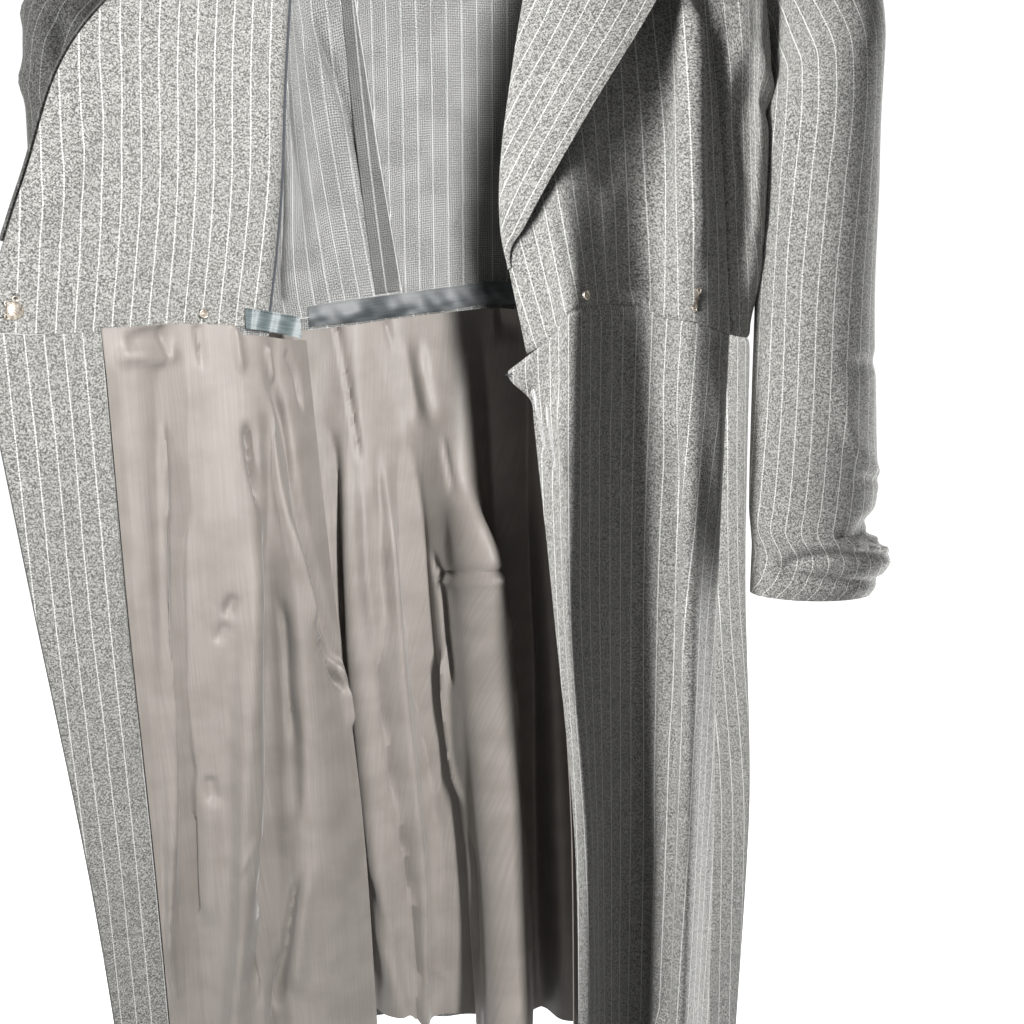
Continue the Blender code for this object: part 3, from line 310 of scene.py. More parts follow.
# Folds of each piece: height (below 0 is a trough), width to the left and to
# the right, share of its length that fades in and out, and its path. Heights
# are towards the side that the picture shows. A path above 1 is in picture
# pixels; below 1 it is shares across and down the piece.
FOLDS = {
    "facing_bodice_R": (
        (5.5, 12, 16, 0.2, 0.2, ((22, 245), (50, 195), (84, 140), (106, 85), (124, 20))),
        (-2.5, 10, 10, 0.3, 0.3, ((52, 262), (76, 205), (104, 150), (124, 95))),
        (1.4, 2.2, 2.2, 0.1, 0.1, ((262, 90), (266, 150), (267, 220), (262, 300))),
        (-1.2, 12, 12, 0.3, 0.3, ((172, 120), (176, 190), (180, 250))),
        (1.6, 16, 16, 0.3, 0.3, ((140, 60), (146, 160), (150, 260))),
    ),
    "bodice_side_R": (
        (-9, 3, 4, 0.1, 0.0, ((283, 20), (284, 120), (283, 220), (280, 300))),
        (-8, 3.5, 5, 0.2, 0.25, ((303, 2), (322, 45), (345, 107), (362, 180), (357, 213))),
        (4, 8, 6, 0.2, 0.3, ((290, 5), (308, 50), (330, 107), (346, 180), (344, 220))),
        (-5, 6, 8, 0.3, 0.3, ((286, 40), (290, 110), (298, 190), (310, 250))),
        (2.5, 8, 8, 0.3, 0.3, ((300, 200), (320, 260), (332, 300))),
    ),
    "bodice_back": (
        (-5, 42, 34, 0.0, 0.0, ((516, 2), (513, 100), (510, 200), (507, 281))),
        (-2.5, 6, 5, 0.2, 0.3, ((427, 2), (424, 50), (420, 95))),
        (-3, 3.5, 3.5, 0.2, 0.3, ((497, 105), (500, 140), (503, 165))),
        (-2.4, 5, 4, 0.3, 0.3, ((470, 185), (462, 205), (450, 225))),
        (2.0, 14, 14, 0.3, 0.3, ((398, 20), (404, 140), (412, 250))),
        (-1.6, 8, 8, 0.3, 0.3, ((478, 60), (482, 150), (484, 250))),
    ),
    "bodice_front_L": (
        (-4, 9, 14, 0.2, 0.3, ((598, 70), (606, 130), (610, 200))),
        (2.2, 6, 6, 0.2, 0.3, ((632, 70), (640, 110), (652, 160))),
        (-1.6, 4, 4, 0.3, 0.3, ((604, 130), (622, 124), (645, 118))),
        (-10, 26, 13, 0.0, 0.0, ((664, 2), (660, 100), (654, 200), (650, 308))),
        (7, 12, 8, 0.0, 0.25, ((695, 24), (696, 150), (698, 278))),
        (-1.6, 3, 3, 0.2, 0.3, ((560, 205), (566, 245), (572, 290))),
    ),
    "bodice_side_L": (
        (4, 10, 10, 0.3, 0.3, ((722, 20), (724, 120), (730, 250))),
        (-4, 7, 9, 0.3, 0.3, ((738, 60), (740, 160), (744, 280))),
        (8, 26, 26, 0.2, 0.2, ((0.62, 0.1), (0.60, 0.5), (0.63, 0.95))),
        (-3, 16, 16, 0.3, 0.3, ((0.78, 0.2), (0.80, 0.6), (0.78, 0.95))),
    ),
    "skirt_facing_R": (
        (2.2, 14, 14, 0.3, 0.3, ((34, 380), (50, 470), (62, 560))),
        (-1.8, 10, 10, 0.3, 0.3, ((60, 420), (82, 560), (100, 700))),
        (1.8, 12, 12, 0.3, 0.3, ((84, 640), (112, 800), (130, 950))),
    ),
    "skirt_front_L": (
        (3.0, 6, 8, 0.3, 0.3, ((690, 440), (686, 560), (690, 760))),
        (-2.2, 6, 6, 0.3, 0.3, ((672, 470), (666, 600), (664, 760))),
        (-2.6, 3, 3, 0.2, 0.3, ((544, 395), (550, 440), (557, 490))),
        (2.2, 4, 4, 0.2, 0.3, ((552, 385), (560, 440), (564, 500))),
        (-2.4, 3, 5, 0.2, 0.3, ((528, 380), (538, 420), (548, 470))),
        (5.0, 12, 13, 0.1, 0.0, ((717, 350), (718, 500), (717, 700), (713, 1015))),
        (-10.0, 12, 9, 0.15, 0.0, ((668, 380), (668, 500), (667, 700), (662, 1015))),
        (-2.0, 8, 8, 0.3, 0.0, ((656, 780), (650, 900), (644, 1018))),
        (1.8, 8, 8, 0.0, 0.4, ((604, 312), (606, 360), (606, 430))),
    ),
    "skirt_front_R": (
        (4, 18, 18, 0.2, 0.0, ((0.35, 0.1), (0.36, 0.5), (0.34, 1.0))),
        (-4, 14, 14, 0.2, 0.0, ((0.62, 0.15), (0.60, 0.6), (0.63, 1.0))),
        (2.4, 9, 9, 0.2, 0.3, ((0.8, 0.05), (0.78, 0.3), (0.8, 0.6))),
    ),
    "skirt_back": (
        (6, 24, 24, 0.0, 0.4, ((0.86, 0.0), (0.86, 0.25), (0.86, 0.6))),
        (5, 26, 20, 0.2, 0.0, ((0.22, 0.1), (0.21, 0.5), (0.23, 1.0))),
        (-5, 18, 22, 0.3, 0.0, ((0.31, 0.2), (0.32, 0.6), (0.31, 1.0))),
        (6, 22, 26, 0.2, 0.0, ((0.43, 0.08), (0.42, 0.5), (0.44, 1.0))),
        (-5, 16, 18, 0.3, 0.0, ((0.52, 0.15), (0.53, 0.6), (0.51, 1.0))),
        (5, 24, 20, 0.3, 0.0, ((0.66, 0.1), (0.67, 0.55), (0.65, 1.0))),
        (-4, 16, 20, 0.3, 0.0, ((0.75, 0.2), (0.74, 0.6), (0.76, 1.0))),
        (3, 10, 10, 0.05, 0.4, ((0.38, 0.0), (0.38, 0.1), (0.375, 0.25))),
        (-3, 9, 9, 0.05, 0.4, ((0.60, 0.0), (0.605, 0.1), (0.60, 0.22))),
    ),
    "lining_front_R": (
        (4.5, 4, 3.5, 0.15, 0.1, ((162, 385), (162, 460), (164, 560), (164, 640), (166, 720), (170, 800),
                                  (170, 880), (172, 960), (178, 1015))),
        (-8, 3.5, 8, 0.2, 0.25, ((172, 372), (174, 450), (175, 500), (172, 550))),
        (-4, 3, 6, 0.2, 0.2, ((171, 640), (172, 720), (182, 760), (196, 785))),
        (-7, 2.6, 4, 0.15, 0.15, ((189, 808), (190, 850), (191, 880), (195, 916))),
        (-4, 2.6, 4, 0.2, 0.2, ((190, 932), (188, 960), (188, 995))),
        (3, 10, 10, 0.3, 0.2, ((208, 770), (212, 850), (210, 930))),
        (-3, 5, 6, 0.3, 0.3, ((208, 775), (212, 790), (215, 806))),
        (7, 10, 9, 0.35, 0.0, ((252, 470), (252, 560), (250, 650), (249, 760), (248, 860), (247, 930),
                               (238, 1018))),
        (-11, 3.5, 17, 0.3, 0.15, ((262, 520), (264, 600), (265, 700), (265, 800), (263, 870), (256, 950),
                                   (248, 1012))),
        (-5, 3, 5, 0.2, 0.3, ((247, 420), (251, 455), (256, 490), (260, 515))),
        (-4, 5, 6, 0.15, 0.0, ((266, 370), (280, 430), (293, 500), (308, 560), (324, 625), (336, 660))),
        (4, 6, 5, 0.2, 0.1, ((258, 365), (270, 415), (284, 490), (300, 560), (317, 630))),
        (-6, 2.6, 4, 0.2, 0.2, ((318, 638), (328, 662), (338, 682), (348, 691))),
        (3.5, 4, 4, 0.2, 0.2, ((332, 655), (345, 690), (352, 730))),
        (-4, 4, 5, 0.2, 0.3, ((280, 596), (284, 640), (288, 690), (293, 760))),
        (-4.5, 4, 6, 0.2, 0.1, ((300, 866), (292, 905), (284, 955), (274, 1018))),
        (3, 8, 8, 0.3, 0.2, ((312, 850), (302, 920), (296, 1000))),
        (2.6, 4, 4, 0.2, 0.2, ((110, 362), (135, 360), (160, 362), (184, 356))),
        (-2.4, 4, 4, 0.2, 0.2, ((125, 348), (150, 345), (172, 347))),
        (-2.2, 2.2, 2.6, 0.1, 0.3, ((284, 350), (293, 368), (299, 395), (302, 415))),
        (1.8, 2.5, 2.5, 0.1, 0.3, ((266, 344), (268, 362), (272, 385))),
        (-1.8, 2.2, 2.2, 0.1, 0.4, ((196, 330), (200, 350), (206, 372))),
        (-1.8, 2.2, 2.2, 0.1, 0.4, ((160, 333), (165, 350), (168, 370))),
        (1.8, 3, 3, 0.1, 0.4, ((235, 334), (238, 352), (242, 378))),
        (-2.8, 5, 4, 0.3, 0.3, ((237, 594), (231, 602), (226, 618))),
        (-2.0, 5, 5, 0.3, 0.3, ((228, 622), (222, 634), (217, 646))),
        (-2.6, 7, 7, 0.3, 0.3, ((290, 700), (294, 760), (296, 830))),
        (1.4, 3, 3, 0.3, 0.3, ((238, 868), (246, 862), (252, 846), (257, 828))),
    ),
    "lining_back": (
        (-16, 9, 10, 0.2, 0.0, ((400, 430), (407, 500), (414, 570), (420, 640), (427, 700), (441, 770),
                                (452, 840), (457, 920), (456, 1015))),
        (8, 10, 8, 0.2, 0.0, ((378, 440), (388, 560), (398, 680), (410, 780), (420, 900), (424, 1015))),
        (24, 13, 9, 0.15, 0.0, ((462, 470), (472, 540), (481, 620), (488, 700), (492, 780), (495, 860),
                                (500, 940), (504, 1018))),
        (-12, 8, 22, 0.0, 0.0, ((500, 345), (505, 450), (510, 560), (520, 700), (526, 850), (532, 1018))),
        (-2.4, 1.8, 2.2, 0.0, 0.15, ((336, 326), (345, 372), (354, 420), (362, 465))),
        (-2.6, 1.8, 2.6, 0.0, 0.15, ((386, 320), (390, 350), (398, 385), (405, 410))),
        (5, 8, 8, 0.2, 0.0, ((338, 400), (344, 500), (352, 600), (362, 720), (374, 850), (388, 950),
                             (402, 1018))),
        (-5, 4, 6, 0.2, 0.2, ((330, 420), (336, 500), (341, 580), (346, 650))),
        (-4, 4, 5, 0.3, 0.3, ((375, 440), (378, 500), (382, 570), (388, 640))),
        (3, 5, 5, 0.3, 0.3, ((360, 470), (366, 560), (374, 660))),
        (-4, 2.6, 4, 0.2, 0.2, ((376, 640), (383, 700), (390, 770), (396, 820))),
        (-4, 2.4, 3.2, 0.2, 0.0, ((397, 800), (405, 870), (412, 940), (420, 1018))),
        (-5, 3, 4, 0.2, 0.2, ((430, 545), (440, 580), (446, 640), (452, 690))),
        (4, 4, 4, 0.2, 0.2, ((444, 640), (446, 700), (452, 760), (466, 810))),
        (-4, 4, 4, 0.2, 0.3, ((436, 690), (440, 730), (438, 780), (430, 830))),
        (-3, 2.2, 3, 0.15, 0.15, ((430, 575), (448, 574), (468, 568), (489, 560))),
        (2.4, 3, 3, 0.2, 0.2, ((432, 581), (450, 580), (470, 575), (488, 567))),
        (-2.4, 2.6, 3, 0.3, 0.3, ((441, 430), (450, 470), (456, 500))),
        (3, 6, 6, 0.3, 0.3, ((414, 330), (424, 380), (436, 430))),
        (-2.6, 5, 5, 0.3, 0.3, ((398, 330), (408, 380), (422, 430))),
        (-3, 5, 5, 0.3, 0.2, ((468, 820), (474, 880), (478, 960))),
        (2.2, 3, 3, 0.2, 0.2, ((418, 962), (432, 956), (446, 962), (470, 975))),
        (-3, 4, 5, 0.3, 0.3, ((372, 860), (378, 900), (390, 960))),
        (4, 14, 14, 0.2, 0.0, ((0.72, 0.2), (0.73, 0.6), (0.72, 1.0))),
        (-4, 12, 12, 0.2, 0.0, ((0.85, 0.2), (0.84, 0.6), (0.86, 1.0))),
    ),
    "lining_front_L": (
        (3, 9, 9, 0.2, 0.0, ((0.3, 0.1), (0.31, 0.5), (0.29, 1.0))),
        (-3, 8, 8, 0.2, 0.0, ((0.55, 0.1), (0.54, 0.5), (0.57, 1.0))),
        (2.4, 6, 6, 0.2, 0.0, ((0.82, 0.2), (0.8, 0.6), (0.83, 1.0))),
    ),
    "lapel_L": (
        (1.4, 14, 14, 0.3, 0.3, ((620, 20), (590, 80), (555, 140))),
        (-1.2, 10, 10, 0.3, 0.3, ((560, 20), (545, 90), (530, 150))),
    ),
    "sleeve_L": (
        (-8, 9, 9, 0.3, 0.15, ((822, 400), (830, 450), (837, 490), (846, 536))),
        (3, 8, 7, 0.3, 0.3, ((842, 360), (850, 430), (852, 500))),
        (4, 12, 12, 0.3, 0.3, ((800, 380), (806, 460), (812, 520))),
        (-5, 4, 5, 0.2, 0.25, ((772, 576), (790, 564), (812, 560), (836, 554), (858, 549))),
        (-5, 3.5, 4, 0.25, 0.15, ((872, 548), (858, 546), (842, 538), (832, 524))),
        (3.5, 6, 5, 0.2, 0.2, ((806, 552), (830, 545), (850, 560), (868, 560))),
        (-2, 7, 7, 0.0, 0.3, ((856, 290), (848, 300), (836, 310))),
        (-2, 7, 7, 0.0, 0.3, ((854, 356), (846, 366), (832, 376))),
        (-3, 4, 5, 0.0, 0.3, ((862, 494), (856, 488), (846, 476))),
        (2.4, 10, 10, 0.3, 0.3, ((782, 60), (788, 200), (792, 330))),
        (-2.0, 9, 9, 0.3, 0.3, ((838, 40), (842, 160), (846, 250))),
        (-2.4, 5, 5, 0.2, 0.3, ((752, 565), (768, 556), (786, 552))),
        (-4, 9, 9, 0.3, 0.3, ((0.3, 0.58), (0.36, 0.62), (0.42, 0.6))),
        (6, 22, 22, 0.2, 0.1, ((0.0, 0.2), (0.0, 0.5), (0.0, 0.92))),
        (6, 22, 22, 0.2, 0.1, ((1.0, 0.2), (1.0, 0.5), (1.0, 0.92))),
        (3, 10, 10, 0.3, 0.3, ((0.3, 0.66), (0.36, 0.7), (0.44, 0.68))),
    ),
    "sleeve_R": (
        (-6, 8, 8, 0.3, 0.3, ((62, 2), (64, 40), (70, 78))),
        (5, 7, 7, 0.3, 0.3, ((48, 2), (50, 50), (54, 100))),
        (-5, 9, 9, 0.3, 0.3, ((0.2, 0.56), (0.28, 0.6), (0.36, 0.58))),
        (4, 10, 10, 0.3, 0.3, ((0.62, 0.5), (0.64, 0.64), (0.66, 0.78))),
        (-4, 8, 8, 0.3, 0.3, ((0.72, 0.5), (0.73, 0.62), (0.72, 0.76))),
        (-4, 5, 5, 0.2, 0.2, ((0.2, 0.9), (0.32, 0.88), (0.45, 0.9))),
    ),
}


def lerp(a, b, t):
    return a + (b - a) * t


def smooth(t):
    t = np.clip(t, 0.0, 1.0)
    return t * t * (3.0 - 2.0 * t)


def curve_at(knots, points, places):
    """Smooth curve through points at rising knots, read at each of the places."""
    knots = np.asarray(knots, float)
    points = np.asarray(points, float)
    places = np.clip(np.atleast_1d(np.asarray(places, float)), knots[0], knots[-1])
    span = np.diff(knots)[:, None]
    rise = np.diff(points, axis=0) / span
    share = span[1:] / (span[1:] + span[:-1])
    bends = rise[:-1] * share + rise[1:] * (1.0 - share)
    reach = np.where(rise[:-1] * rise[1:] > 0.0, 2.0, 0.4)
    limit = reach * np.minimum(np.abs(rise[:-1]), np.abs(rise[1:]))
    slopes = np.vstack((rise[:1], np.clip(bends, -limit, limit), rise[-1:]))
    i = np.clip(np.searchsorted(knots, places, side="right") - 1, 0, len(knots) - 2)
    f = ((places - knots[i]) / (knots[i + 1] - knots[i]))[:, None]
    step = span[i]
    return (points[i] * (2 * f ** 3 - 3 * f ** 2 + 1) + slopes[i] * step * (f ** 3 - 2 * f ** 2 + f)
            + points[i + 1] * (3 * f ** 2 - 2 * f ** 3) + slopes[i + 1] * step * (f ** 3 - f ** 2))


WAIST_POINTS = np.array([row[1:] for row in WAIST], float)
WAIST_PLACES = np.arange(len(WAIST), dtype=float)


def waist_at(us):
    return curve_at(WAIST_PLACES, WAIST_POINTS, us)


BODICE_PLACES = np.array([row[1] for row in BODICE])
BODICE_TOPS = np.array([row[2:5] for row in BODICE], float)


def on_shoulder(us):
    """True where a line starts on a shoulder seam."""
    return np.any([(us >= low) & (us <= high) for low, high in SHOULDER_BACK + SHOULDER_FRONT], axis=0)


def shoulder_share(us):
    """1 along a shoulder seam, fading out at its neck and armhole ends."""
    across = np.abs(curve_at(BODICE_PLACES, BODICE_TOPS, us)[:, 0])
    return on_shoulder(us) * smooth((across - 70.0) / 14.0) * smooth((200.0 - across) / 20.0)


def surface(knots, lines, us):
    """Cloth across key lines that share their rows: a row for each point of a line, a column for each u."""
    return np.array([curve_at(knots, lines[:, k], us) for k in range(lines.shape[1])])


def bodice_at(us, vs):
    """Bodice cloth, a row for each v (0 top edge, 1 waist) and a column for each u."""
    us = np.asarray(us, float)
    vs = np.clip(np.asarray(vs, float), 0.0, 1.0)
    ends = waist_at(BODICE_PLACES)
    lines = []
    for row, end in zip(BODICE, ends):
        xy = np.array((row[2:4], row[5:7], row[7:9], row[9:11], end[:2]), float)
        forward = TIP_FORWARD if row[1] < 6.0 or row[1] > 18.3 else 0.0
        forward *= np.clip((abs(row[2]) - 130.0) / 40.0, 0.0, 1.0)
        early = forward * np.sin(math.pi * np.minimum(4 * vs, 1))
        lines.append(np.column_stack((curve_at(BODICE_STOPS, xy, vs + early), lerp(row[4], end[2], vs))))
    miss = waist_at(us) - curve_at(BODICE_PLACES, ends, us)
    points = surface(BODICE_PLACES, np.array(lines), us) + smooth((vs - 0.55) / 0.45)[:, None, None] * miss
    rounding = np.maximum(1.0 - vs / SHOULDER_REACH, 0.0)[:, None] ** 2
    points[..., 2] -= SHOULDER_ROUND * shoulder_share(us) * rounding
    return points


def hanging_lines(starts, ends, hem_z, vs):
    """Key lines from x, y, z at the waist through x, y at the hip, the knee and the hem."""
    lines = []
    for start, end in zip(starts, ends):
        xy = np.array((start[:2], end[0:2], end[2:4], end[4:6]), float)
        lines.append(np.column_stack((curve_at(SKIRT_STOPS, xy, vs), lerp(start[2], hem_z, vs))))
    return np.array(lines)


def skirt_at(us, vs):
    """Skirt cloth, a row for each v (0 waist, 1 hem) and a column for each u."""
    us = np.asarray(us, float)
    vs = np.clip(np.asarray(vs, float), 0.0, 1.0)
    lines = hanging_lines(WAIST_POINTS, [row[1:] for row in SKIRT], HEM_Z, vs)
    points = surface(WAIST_PLACES, lines, us)
    corner = smooth(us - 25.0) * smooth(1.0 - vs / 0.06)[:, None]
    points[..., 0] -= CORNER_REACH * corner
    points[..., 2] -= CORNER_DROP * corner
    return points


def lining_at(table, us, vs):
    """Lining cloth: u counts the table's rows, v runs from the waist to the lining's hem."""
    vs = np.clip(np.asarray(vs, float), 0.0, 1.0)
    lines = hanging_lines([row[1:4] for row in table], [row[4:] for row in table], LINING_HEM_Z, vs)
    return surface(np.arange(len(table), dtype=float), lines, np.asarray(us, float))


def unit(vectors):
    return vectors / np.linalg.norm(vectors, axis=-1, keepdims=True)


def normals_of(cloth, us, vs):
    """Directions out of the coat, from the cloth just beside each point."""
    us = np.asarray(us, float)
    vs = np.asarray(vs, float)
    along = cloth(us + BESIDE[0], vs) - cloth(us - BESIDE[0], vs)
    down = cloth(us, vs + BESIDE[1]) - cloth(us, vs - BESIDE[1])
    out = unit(np.cross(along, down))
    if cloth is bodice_at and vs[0] == 0.0:
        up = cloth(us, [0.0])[0] - cloth(us, [0.025])[0]
        up = unit(up * (1.0, 0.0, 1.0))
        lean = np.clip(np.sum(out[0] * up, axis=1, keepdims=True), 0.75, 1.0)
        out[0] = np.where(on_shoulder(us)[:, None], up / lean, out[0])
    return out


def grid_normals(points, toward=None):
    """The same for a grid of points with no formula of its own, turned to agree with a direction."""
    out = unit(np.cross(np.gradient(points, axis=1), np.gradient(points, axis=0)))
    return out if toward is None else out * np.sign(np.sum(out * toward))


def trimmed(points, sides="lrtb"):
    """Pull the chosen sides of a grid in from its seams."""
    points = points.copy()
    pairs = {"l": (points[:, 0], points[:, 1]), "r": (points[:, -1], points[:, -2]),
             "t": (points[0], points[1]), "b": (points[-1], points[-2])}
    for side in sides:
        edge, beside = pairs[side]
        edge += unit(beside - edge) * SEAM_TRIM
    return points


def kept_off(points, cloth, low, high, least, most):
    """Move points along the cloth's outward direction until their height is between the limits."""
    us = np.linspace(low, high, CLEARANCE_GRID[0])
    vs = np.linspace(0.0, 1.0, CLEARANCE_GRID[1])
    near = cloth(us, vs).reshape(-1, 3)
    out = normals_of(cloth, us, vs).reshape(-1, 3)
    tree = KDTree(len(near))
    for index, point in enumerate(near):
        tree.insert(point, index)
    tree.balance()
    flat = points.reshape(-1, 3)
    nearest = [tree.find(point)[1] for point in flat]
    height = np.sum((flat - near[nearest]) * out[nearest], axis=1)
    move = (np.clip(height, least, most) - height)[:, None] * out[nearest]
    return (flat + move).reshape(points.shape)


def spread(cloth, low, high, spacing):
    """Places across a piece of cloth, evenly spaced where it is widest, closer at its edges."""
    fine = np.linspace(low, high, ACROSS_SAMPLES)
    gaps = np.linalg.norm(np.diff(cloth(fine, [0.02, 0.3, 0.6, 0.98]), axis=1), axis=2).max(axis=0)
    run = np.append(0.0, np.cumsum(gaps))
    places = np.linspace(0.0, run[-1], max(int(run[-1] / spacing), 3) + 1)
    return np.interp(with_edges(places), run, fine)


def with_edges(places):
    """Two extra places next to each end."""
    ends = ((places[0], places[1] - places[0]), (places[-1], places[-2] - places[-1]))
    extra = [end + gap * share for end, gap in ends for share in EDGE_SHARES]
    return np.sort(np.append(places, extra))


def rows_down(length, spacing):
    return with_edges(np.linspace(0.0, 1.0, int(length / spacing) + 1))


def edge_gaps(points):
    """How far each point is from the piece's left, right, top and bottom edges, in mm."""
    across = np.linalg.norm(np.diff(points, axis=1), axis=2)
    across = np.hstack((np.zeros((len(points), 1)), np.cumsum(across, axis=1)))
    down = np.linalg.norm(np.diff(points, axis=0), axis=2)
    down = np.vstack((np.zeros((1, points.shape[1])), np.cumsum(down, axis=0)))
    return {"l": across, "r": across[:, -1:] - across, "t": down, "b": down[-1:] - down}


def chart_of(points, column, start=0.0, lean=0.0, scale=1.0):
    """Cloth sizes in mm: across, from the stripe line at that share of the columns, and down."""
    gaps = edge_gaps(points)
    at = column * (points.shape[1] - 1)
    k = min(int(at), points.shape[1] - 2)
    base = lerp(gaps["l"][:, k], gaps["l"][:, k + 1], at - k)
    down = gaps["t"].mean(axis=1)
    across = (gaps["l"] - base[:, None]) * scale + start + lean * down[:, None]
    return np.stack((across, np.repeat(down[:, None], points.shape[1], axis=1)), axis=2)


def in_frame(points):
    """Where points in mm show in the picture, in pixels from its top left corner."""
    x, y, z = np.moveaxis(points * MM - np.array(EYE), -1, 0)
    tilt = math.radians(PITCH_DOWN)
    deep = y * math.cos(tilt) - z * math.sin(tilt)
    up = y * math.sin(tilt) + z * math.cos(tilt)
    middle = PICTURE / 2
    return np.stack((middle + FOCAL * x / deep, middle - FOCAL * up / deep), axis=-1)


def spots_on(seen, path):
    """The grid's row and column at each point of a path, in picture pixels or in shares across and down."""
    rows, columns = seen.shape[:2]
    if path.max() <= 1.001:
        return [(int(round(v * (rows - 1))), int(round(u * (columns - 1)))) for u, v in path]
    gaps = [np.sum((seen - spot) ** 2, axis=2) for spot in path]
    return [np.unravel_index(np.argmin(gap), gap.shape) for gap in gaps]


def beside_line(chart, line, flip):
    """Each point's squared gap to a line, its share of the way along and the side it lies on."""
    best = np.full(chart.shape[:2], 1e9)
    share = np.zeros(chart.shape[:2])
    side = np.zeros(chart.shape[:2])
    for k, step in enumerate(np.diff(line, axis=0)):
        gap = chart - line[k]
        length = max(float(step @ step), 1e-9)
        f = np.clip((gap @ step) / length, 0.0, 1.0)
        far = np.sum((gap - f[..., None] * step) ** 2, axis=2)
        turn = np.sign(gap[..., 0] * step[1] - gap[..., 1] * step[0]) * flip
        nearer = far < best
        best = np.where(nearer, far, best)
        share = np.where(nearer, (k + f) / (len(line) - 1), share)
        side = np.where(nearer, turn * np.sign(step[1] or 1.0), side)
    return best, share, side


def creased(points, out, chart, folds, toward):
    """Raise the ridges and press the troughs of a piece, given as rows of FOLDS."""
    seen = in_frame(points)
    rows, columns = points.shape[:2]
    flip = np.sign(points[rows // 2, -1, 0] - points[rows // 2, 0, 0]) or 1.0
    height = np.zeros((rows, columns))
    for depth, left, right, fade_in, fade_out, path in folds:
        knots = np.array([chart[spot] for spot in spots_on(seen, np.array(path, float))])
        run = np.append(0.0, np.cumsum(np.linalg.norm(np.diff(knots, axis=0), axis=1)))
        keep = np.append(True, np.diff(run) > 0.5)
        line = curve_at(run[keep], knots[keep], np.linspace(0.0, run[-1], FOLD_STEPS))
        best, share, side = beside_line(chart, line, flip)
        strength = smooth(share / fade_in) if fade_in else 1.0
        strength = strength * (smooth((1.0 - share) / fade_out) if fade_out else 1.0)
        height += depth * strength * np.exp(-best / np.where(side < 0.0, left, right) ** 2)
    return points + out * (height * toward)[..., None]


def seamed(points, out, sides):
    """Draw the cloth in a little along its sewn edges."""
    gaps = edge_gaps(points)
    groove = sum(np.exp(-(gaps[side] / SEAM_REACH) ** 2) for side in sides)
    return points - out * (SEAM_GROOVE * np.minimum(groove, 1.0))[..., None]


def add_sheet(name, outer, inner, chart, looks):
    """A thin shell between two grids of points. Looks are its outer and inner materials."""
    grid = np.arange(outer.shape[0] * outer.shape[1]).reshape(outer.shape[:2])
    back = grid.size
    quads = (grid[:-1, :-1], grid[:-1, 1:], grid[1:, 1:], grid[1:, :-1])
    front = np.stack([part.ravel() for part in quads], axis=1)
    rear = front[:, ::-1] + back
    edge = np.concatenate((grid[0, :-1], grid[:-1, -1], grid[-1, :0:-1], grid[:0:-1, 0]))
    after = np.roll(edge, -1)
    faces = np.vstack((front, rear, np.stack((edge, edge + back, after + back, after), axis=1)))
    corner = outer[:-1, :-1]
    turn = np.cross(outer[:-1, 1:] - corner, outer[1:, :-1] - corner)
    if np.sum(turn * (outer - inner)[:-1, :-1]) < 0.0:
        faces = faces[:, ::-1]
    verts = np.vstack((outer.reshape(-1, 3), inner.reshape(-1, 3))) * MM
    mesh = bpy.data.meshes.new(name)
    mesh.from_pydata(verts.tolist(), [], faces.tolist())
    places = np.vstack((chart.reshape(-1, 2), chart.reshape(-1, 2))) * MM
    corners = np.empty(len(mesh.loops), dtype=np.int32)
    mesh.loops.foreach_get("vertex_index", corners)
    mesh.uv_layers.new(name="cloth").uv.foreach_set("vector", places[corners].ravel())
    for look in looks:
        mesh.materials.append(look)
    slots = np.zeros(len(faces), dtype=np.int32)
    slots[len(front):len(front) + len(rear)] = len(looks) - 1
    mesh.polygons.foreach_set("material_index", slots)
    mesh.shade_smooth()
    mesh.set_sharp_from_angle(angle=math.radians(SHARP_FROM))
    sheet = bpy.data.objects.new(name, mesh)
    bpy.context.scene.collection.objects.link(sheet)
    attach(sheet, "root")
    return sheet


def declare(middle):
    across = np.linalg.norm(np.diff(middle, axis=1), axis=2).sum(axis=1).max()
    down = np.linalg.norm(np.diff(middle, axis=0), axis=2).sum(axis=0).max()
    a = middle[1:, 1:] - middle[:-1, :-1]
    b = middle[1:, :-1] - middle[:-1, 1:]
    area = 0.5 * np.linalg.norm(np.cross(a, b), axis=2).sum()
    flat = (max(across, LEAST_FLAT) * MM, max(down, LEAST_FLAT) * MM)
    area = min(max(area * MM * MM, LEAST_SHARE * flat[0] * flat[1]), flat[0] * flat[1])


def clothe(name, points, out, chart, looks, thick=WOOL):
    """Thicken a grid of points into its sheet, in place of the node of that name where there is one."""
    nodes = [name] if name in frame["nodes"] else []
    inner = points - out * thick
    sheet = add_sheet(name + "_cloth" if nodes else name, points, inner, chart, looks)
    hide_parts(*nodes)
    declare((points + inner) / 2)


def lay_cloth(name, cloth, low, high, spacing, length, looks, depth=0.0, start=0.0, lean=0.0, scale=1.0,
              line=0.5, toward=1.0, sewn="", top=0.0, rows=4.0):
    """One flat-cut piece: its fine grid on the coat's surface, its folds, seams, thickness and stripes."""
    us = spread(cloth, low, high, spacing)
    vs = top + (1.0 - top) * rows_down(length, rows)
    points = trimmed(cloth(us, vs))
    out = normals_of(cloth, us, vs)
    chart = chart_of(points, line, start, lean, scale)
    flat = points - out * depth
    points = creased(flat, out, chart, FOLDS.get(name, ()), toward)
    if sewn:
        gaps = edge_gaps(flat)
        near = np.min([gaps[side] for side in sewn], axis=0)
        points = seamed(lerp(flat, points, smooth(near / SEAM_FADE)[..., None]), out, sewn)
    clothe(name, points, grid_normals(points, out), chart, looks)


